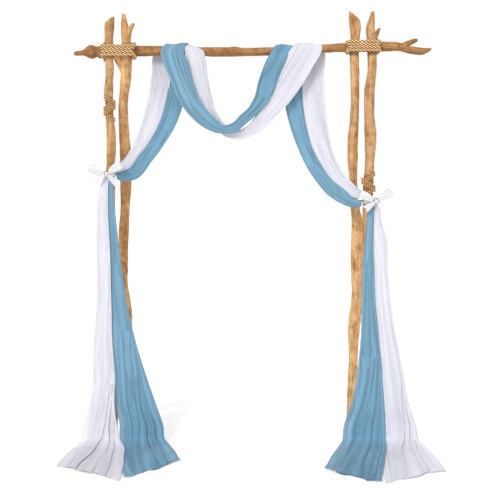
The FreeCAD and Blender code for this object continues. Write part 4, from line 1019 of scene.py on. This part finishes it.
class ARCH_OT_rope(bpy.types.Operator):
    """Lash the beam to the posts and bind the outer posts with twisted rope"""
    bl_idname = "arch.rope"
    bl_label = "Rope"

    def execute(self, context):
        light = tuple(context.scene.arch_wood.rope)
        rope = rope_material("twisted_rope", light, ROPE_GROOVE_SHADE)
        warm = [part * share for part, share in zip(light, CORD_TINT)]
        cord = rope_material("twisted_cord", warm, CORD_GROOVE_SHADE)
        for name, values in LASHINGS.items():
            shown(lashing_surface(*values), f"{name}_rope", rope, [name])
        for name, values in BINDINGS.items():
            shown(binding_surface(*values), f"{name}_rope", cord, [name])
        return {"FINISHED"}


class ARCH_OT_panels(bpy.types.Operator):
    """Hang the chiffon panels: three swags of each colour, tails and trains"""
    bl_idname = "arch.panels"
    bl_label = "Chiffon panels"

    def execute(self, context):
        cloth = context.scene.arch_cloth
        paints = {}
        for colour, values in CHIFFONS.items():
            paints[colour] = cloth_material(f"{colour}_chiffon", getattr(cloth, colour), *values)
        wide = cloth.flat_width * 1000
        for k, (colour, line) in enumerate((("white", WHITE_SWAGS), ("blue", BLUE_SWAGS))):
            surface = Surface()
            length = pleated_grid(surface, line, cloth.folds, wide, 5 + 3 * k)
            nodes = [f"{spot}_{colour}_swag" for spot in ("left", "middle", "right")]
            piece = shown(surface, f"{colour}_swags", paints[colour], nodes)
        for k, (name, values) in enumerate(TAILS.items()):
            side, colour = name.split("_")
            surface = Surface()
            length = pleated_grid(surface, tail_line(*values), cloth.folds - 1, wide, 15 + 4 * k, HEM_WAVE)
            nodes = [f"{name}_tail", f"{name}_train"]
            piece = shown(surface, f"{name}_panel", paints[colour], nodes)
        return {"FINISHED"}


class ARCH_OT_bows(bpy.types.Operator):
    """Tie the cloth to the outer posts with ribbon bands and bows"""
    bl_idname = "arch.bows"
    bl_label = "Ribbon bows"

    def execute(self, context):
        paint = cloth_material("satin_ribbon", context.scene.arch_cloth.ribbon, 0.92, 0.84, roughness=0.45)
        for k, (side, (loops, tails, band)) in enumerate(BOWS.items()):
            low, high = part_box(f"{side}_bow_knot")
            knot = np.array((low + high) / 2) * 1000
            surface = Surface()
            knot_grid(surface, knot)
            shown(surface, f"{side}_knot_ribbon", paint, [f"{side}_bow_knot"])
            surface = Surface()
            for j, way in enumerate(loops):
                loop_grid(surface, knot, way, 2.0 * k + j)
            piece = shown(surface, f"{side}_loop_ribbon", paint, [f"{side}_bow_loops"])
            surface = Surface()
            for j, way in enumerate(tails):
                tail_grid(surface, knot, way, 2.0 * k + j)
            piece = shown(surface, f"{side}_tail_ribbon", paint, [f"{side}_bow_tails"])
            surface = Surface()
            band_grid(surface, *band)
            piece = shown(surface, f"{side}_band_ribbon", paint, [f"{side}_tie_band"])
        return {"FINISHED"}


# Stage, in metres
FLOOR_HALF = 14.0
FLOOR_CORNERS = [(-FLOOR_HALF, -FLOOR_HALF, 0), (FLOOR_HALF, -FLOOR_HALF, 0),
                 (FLOOR_HALF, FLOOR_HALF, 0), (-FLOOR_HALF, FLOOR_HALF, 0)]
# Name, direction that the light comes from, share of the key light, softness in degrees
LAMPS = (("key", (-0.55, -1.0, 0.85), 1.0, 24), ("side", (0.95, -0.75, 0.55), 0.35, 36),
         ("back", (0.35, 1.0, 0.75), 0.55, 24))
CAMERA_PLACE, CAMERA_DIP = (-0.00325, -3.8036, 1.600), 8.9
CAMERA_SENSOR, CAMERA_LENS = 36.0, 57.6
WHITE = (1, 1, 1, 1)


def staged(scene, name, data):
    """An object of the stage, linked to the scene."""
    made = bpy.data.objects.new(name, data)
    scene.collection.objects.link(made)
    return made


def build_floor(scene, lift):
    """A pale floor that takes shadows and, where the camera sees it, adds light."""
    mesh = bpy.data.meshes.new("floor")
    mesh.from_pydata(FLOOR_CORNERS, [], [(0, 1, 2, 3)])
    paint, tree, shader = new_material("floor_paint")
    shader.inputs["Base Color"].default_value = (0.9, 0.9, 0.9, 1)
    shader.inputs["Roughness"].default_value = 1.0
    shader.inputs["Specular IOR Level"].default_value = 0.0
    shader.inputs["Emission Color"].default_value = WHITE
    seen = node(tree, "ShaderNodeLightPath").outputs["Is Camera Ray"]
    tree.links.new(maths(tree, "MULTIPLY", seen, lift), shader.inputs["Emission Strength"])
    mesh.materials.append(paint)
    floor = staged(scene, "floor", mesh)


def build_background(scene, fill):
    """An even light from all round that the camera sees as plain white."""
    world = bpy.data.worlds.new("studio")
    scene.world = world
    world.use_nodes = True
    tree = world.node_tree
    light = tree.nodes["Background"]
    light.inputs["Color"].default_value = WHITE
    light.inputs["Strength"].default_value = fill
    sky = node(tree, "ShaderNodeBackground", Color=WHITE, Strength=1.0)
    ray = node(tree, "ShaderNodeLightPath").outputs
    bounced = maths(tree, "MAXIMUM", ray["Is Glossy Ray"], ray["Is Transmission Ray"])
    mix = node(tree, "ShaderNodeMixShader")
    feed(tree, mix, enumerate((maths(tree, "MAXIMUM", ray["Is Camera Ray"], bounced),
                               light.outputs[0], sky.outputs[0])))
    tree.links.new(mix.outputs[0], tree.nodes["World Output"].inputs["Surface"])


def build_lamps(scene, key_light):
    for name, spot, share, soft in LAMPS:
        lamp = bpy.data.lights.new(name, "SUN")
        lamp.energy, lamp.angle = key_light * share, math.radians(soft)
        holder = staged(scene, name, lamp)
        holder.location = np.array(spot) * 4
        holder.rotation_euler = (math.atan2(math.hypot(spot[0], spot[1]), spot[2]), 0,
                                 math.atan2(-spot[1], -spot[0]) - math.pi / 2)


def build_camera(scene):
    lens = bpy.data.cameras.new("camera")
    lens.sensor_width, lens.lens = CAMERA_SENSOR, CAMERA_LENS
    camera = staged(scene, "camera", lens)
    camera.location = CAMERA_PLACE
    camera.rotation_euler = (math.radians(90 - CAMERA_DIP), 0, 0)
    scene.camera = camera


class ARCH_OT_stage(bpy.types.Operator):
    """Set the floor, the lights, the plain background and the camera"""
    bl_idname = "arch.stage"
    bl_label = "Stage"

    def execute(self, context):
        scene = context.scene
        stage = scene.arch_stage
        build_floor(scene, stage.floor_lift)
        build_background(scene, stage.fill)
        build_lamps(scene, stage.key_light)
        build_camera(scene)
        scene.view_settings.view_transform = "Standard"
        return {"FINISHED"}


class ARCH_PT_panel(bpy.types.Panel):
    """Lists the sizes, colours and operators of the arch"""
    bl_idname = "ARCH_PT_panel"
    bl_label = "Draped wedding arch"
    bl_space_type = "VIEW_3D"
    bl_region_type = "UI"
    bl_category = "Wedding arch"

    def draw(self, context):
        for key in GROUPS:
            group = getattr(context.scene, key)
            column = self.layout.column(align=True)
            for label in group.__annotations__:
                column.prop(group, label)
        for operator in OPERATORS:
            self.layout.operator(operator.bl_idname)


GROUPS = {"arch_cloth": ArchCloth, "arch_wood": ArchWood, "arch_stage": ArchStage}
OPERATORS = (ARCH_OT_logs, ARCH_OT_rope, ARCH_OT_panels, ARCH_OT_bows, ARCH_OT_stage)


def register():
    for cls in (*GROUPS.values(), *OPERATORS, ARCH_PT_panel):
        bpy.utils.register_class(cls)
    for key, cls in GROUPS.items():
        setattr(bpy.types.Scene, key, PointerProperty(type=cls))


def unregister():
    for key in GROUPS:
        delattr(bpy.types.Scene, key)
    for cls in (ARCH_PT_panel, *reversed(OPERATORS), *reversed(GROUPS.values())):
        bpy.utils.unregister_class(cls)


def main():
    """Register the classes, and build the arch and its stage."""
    register()
    bpy.ops.arch.logs()
    bpy.ops.arch.rope()
    bpy.ops.arch.panels()
    bpy.ops.arch.bows()
    bpy.ops.arch.stage()


if __name__ == "__main__":
    main()
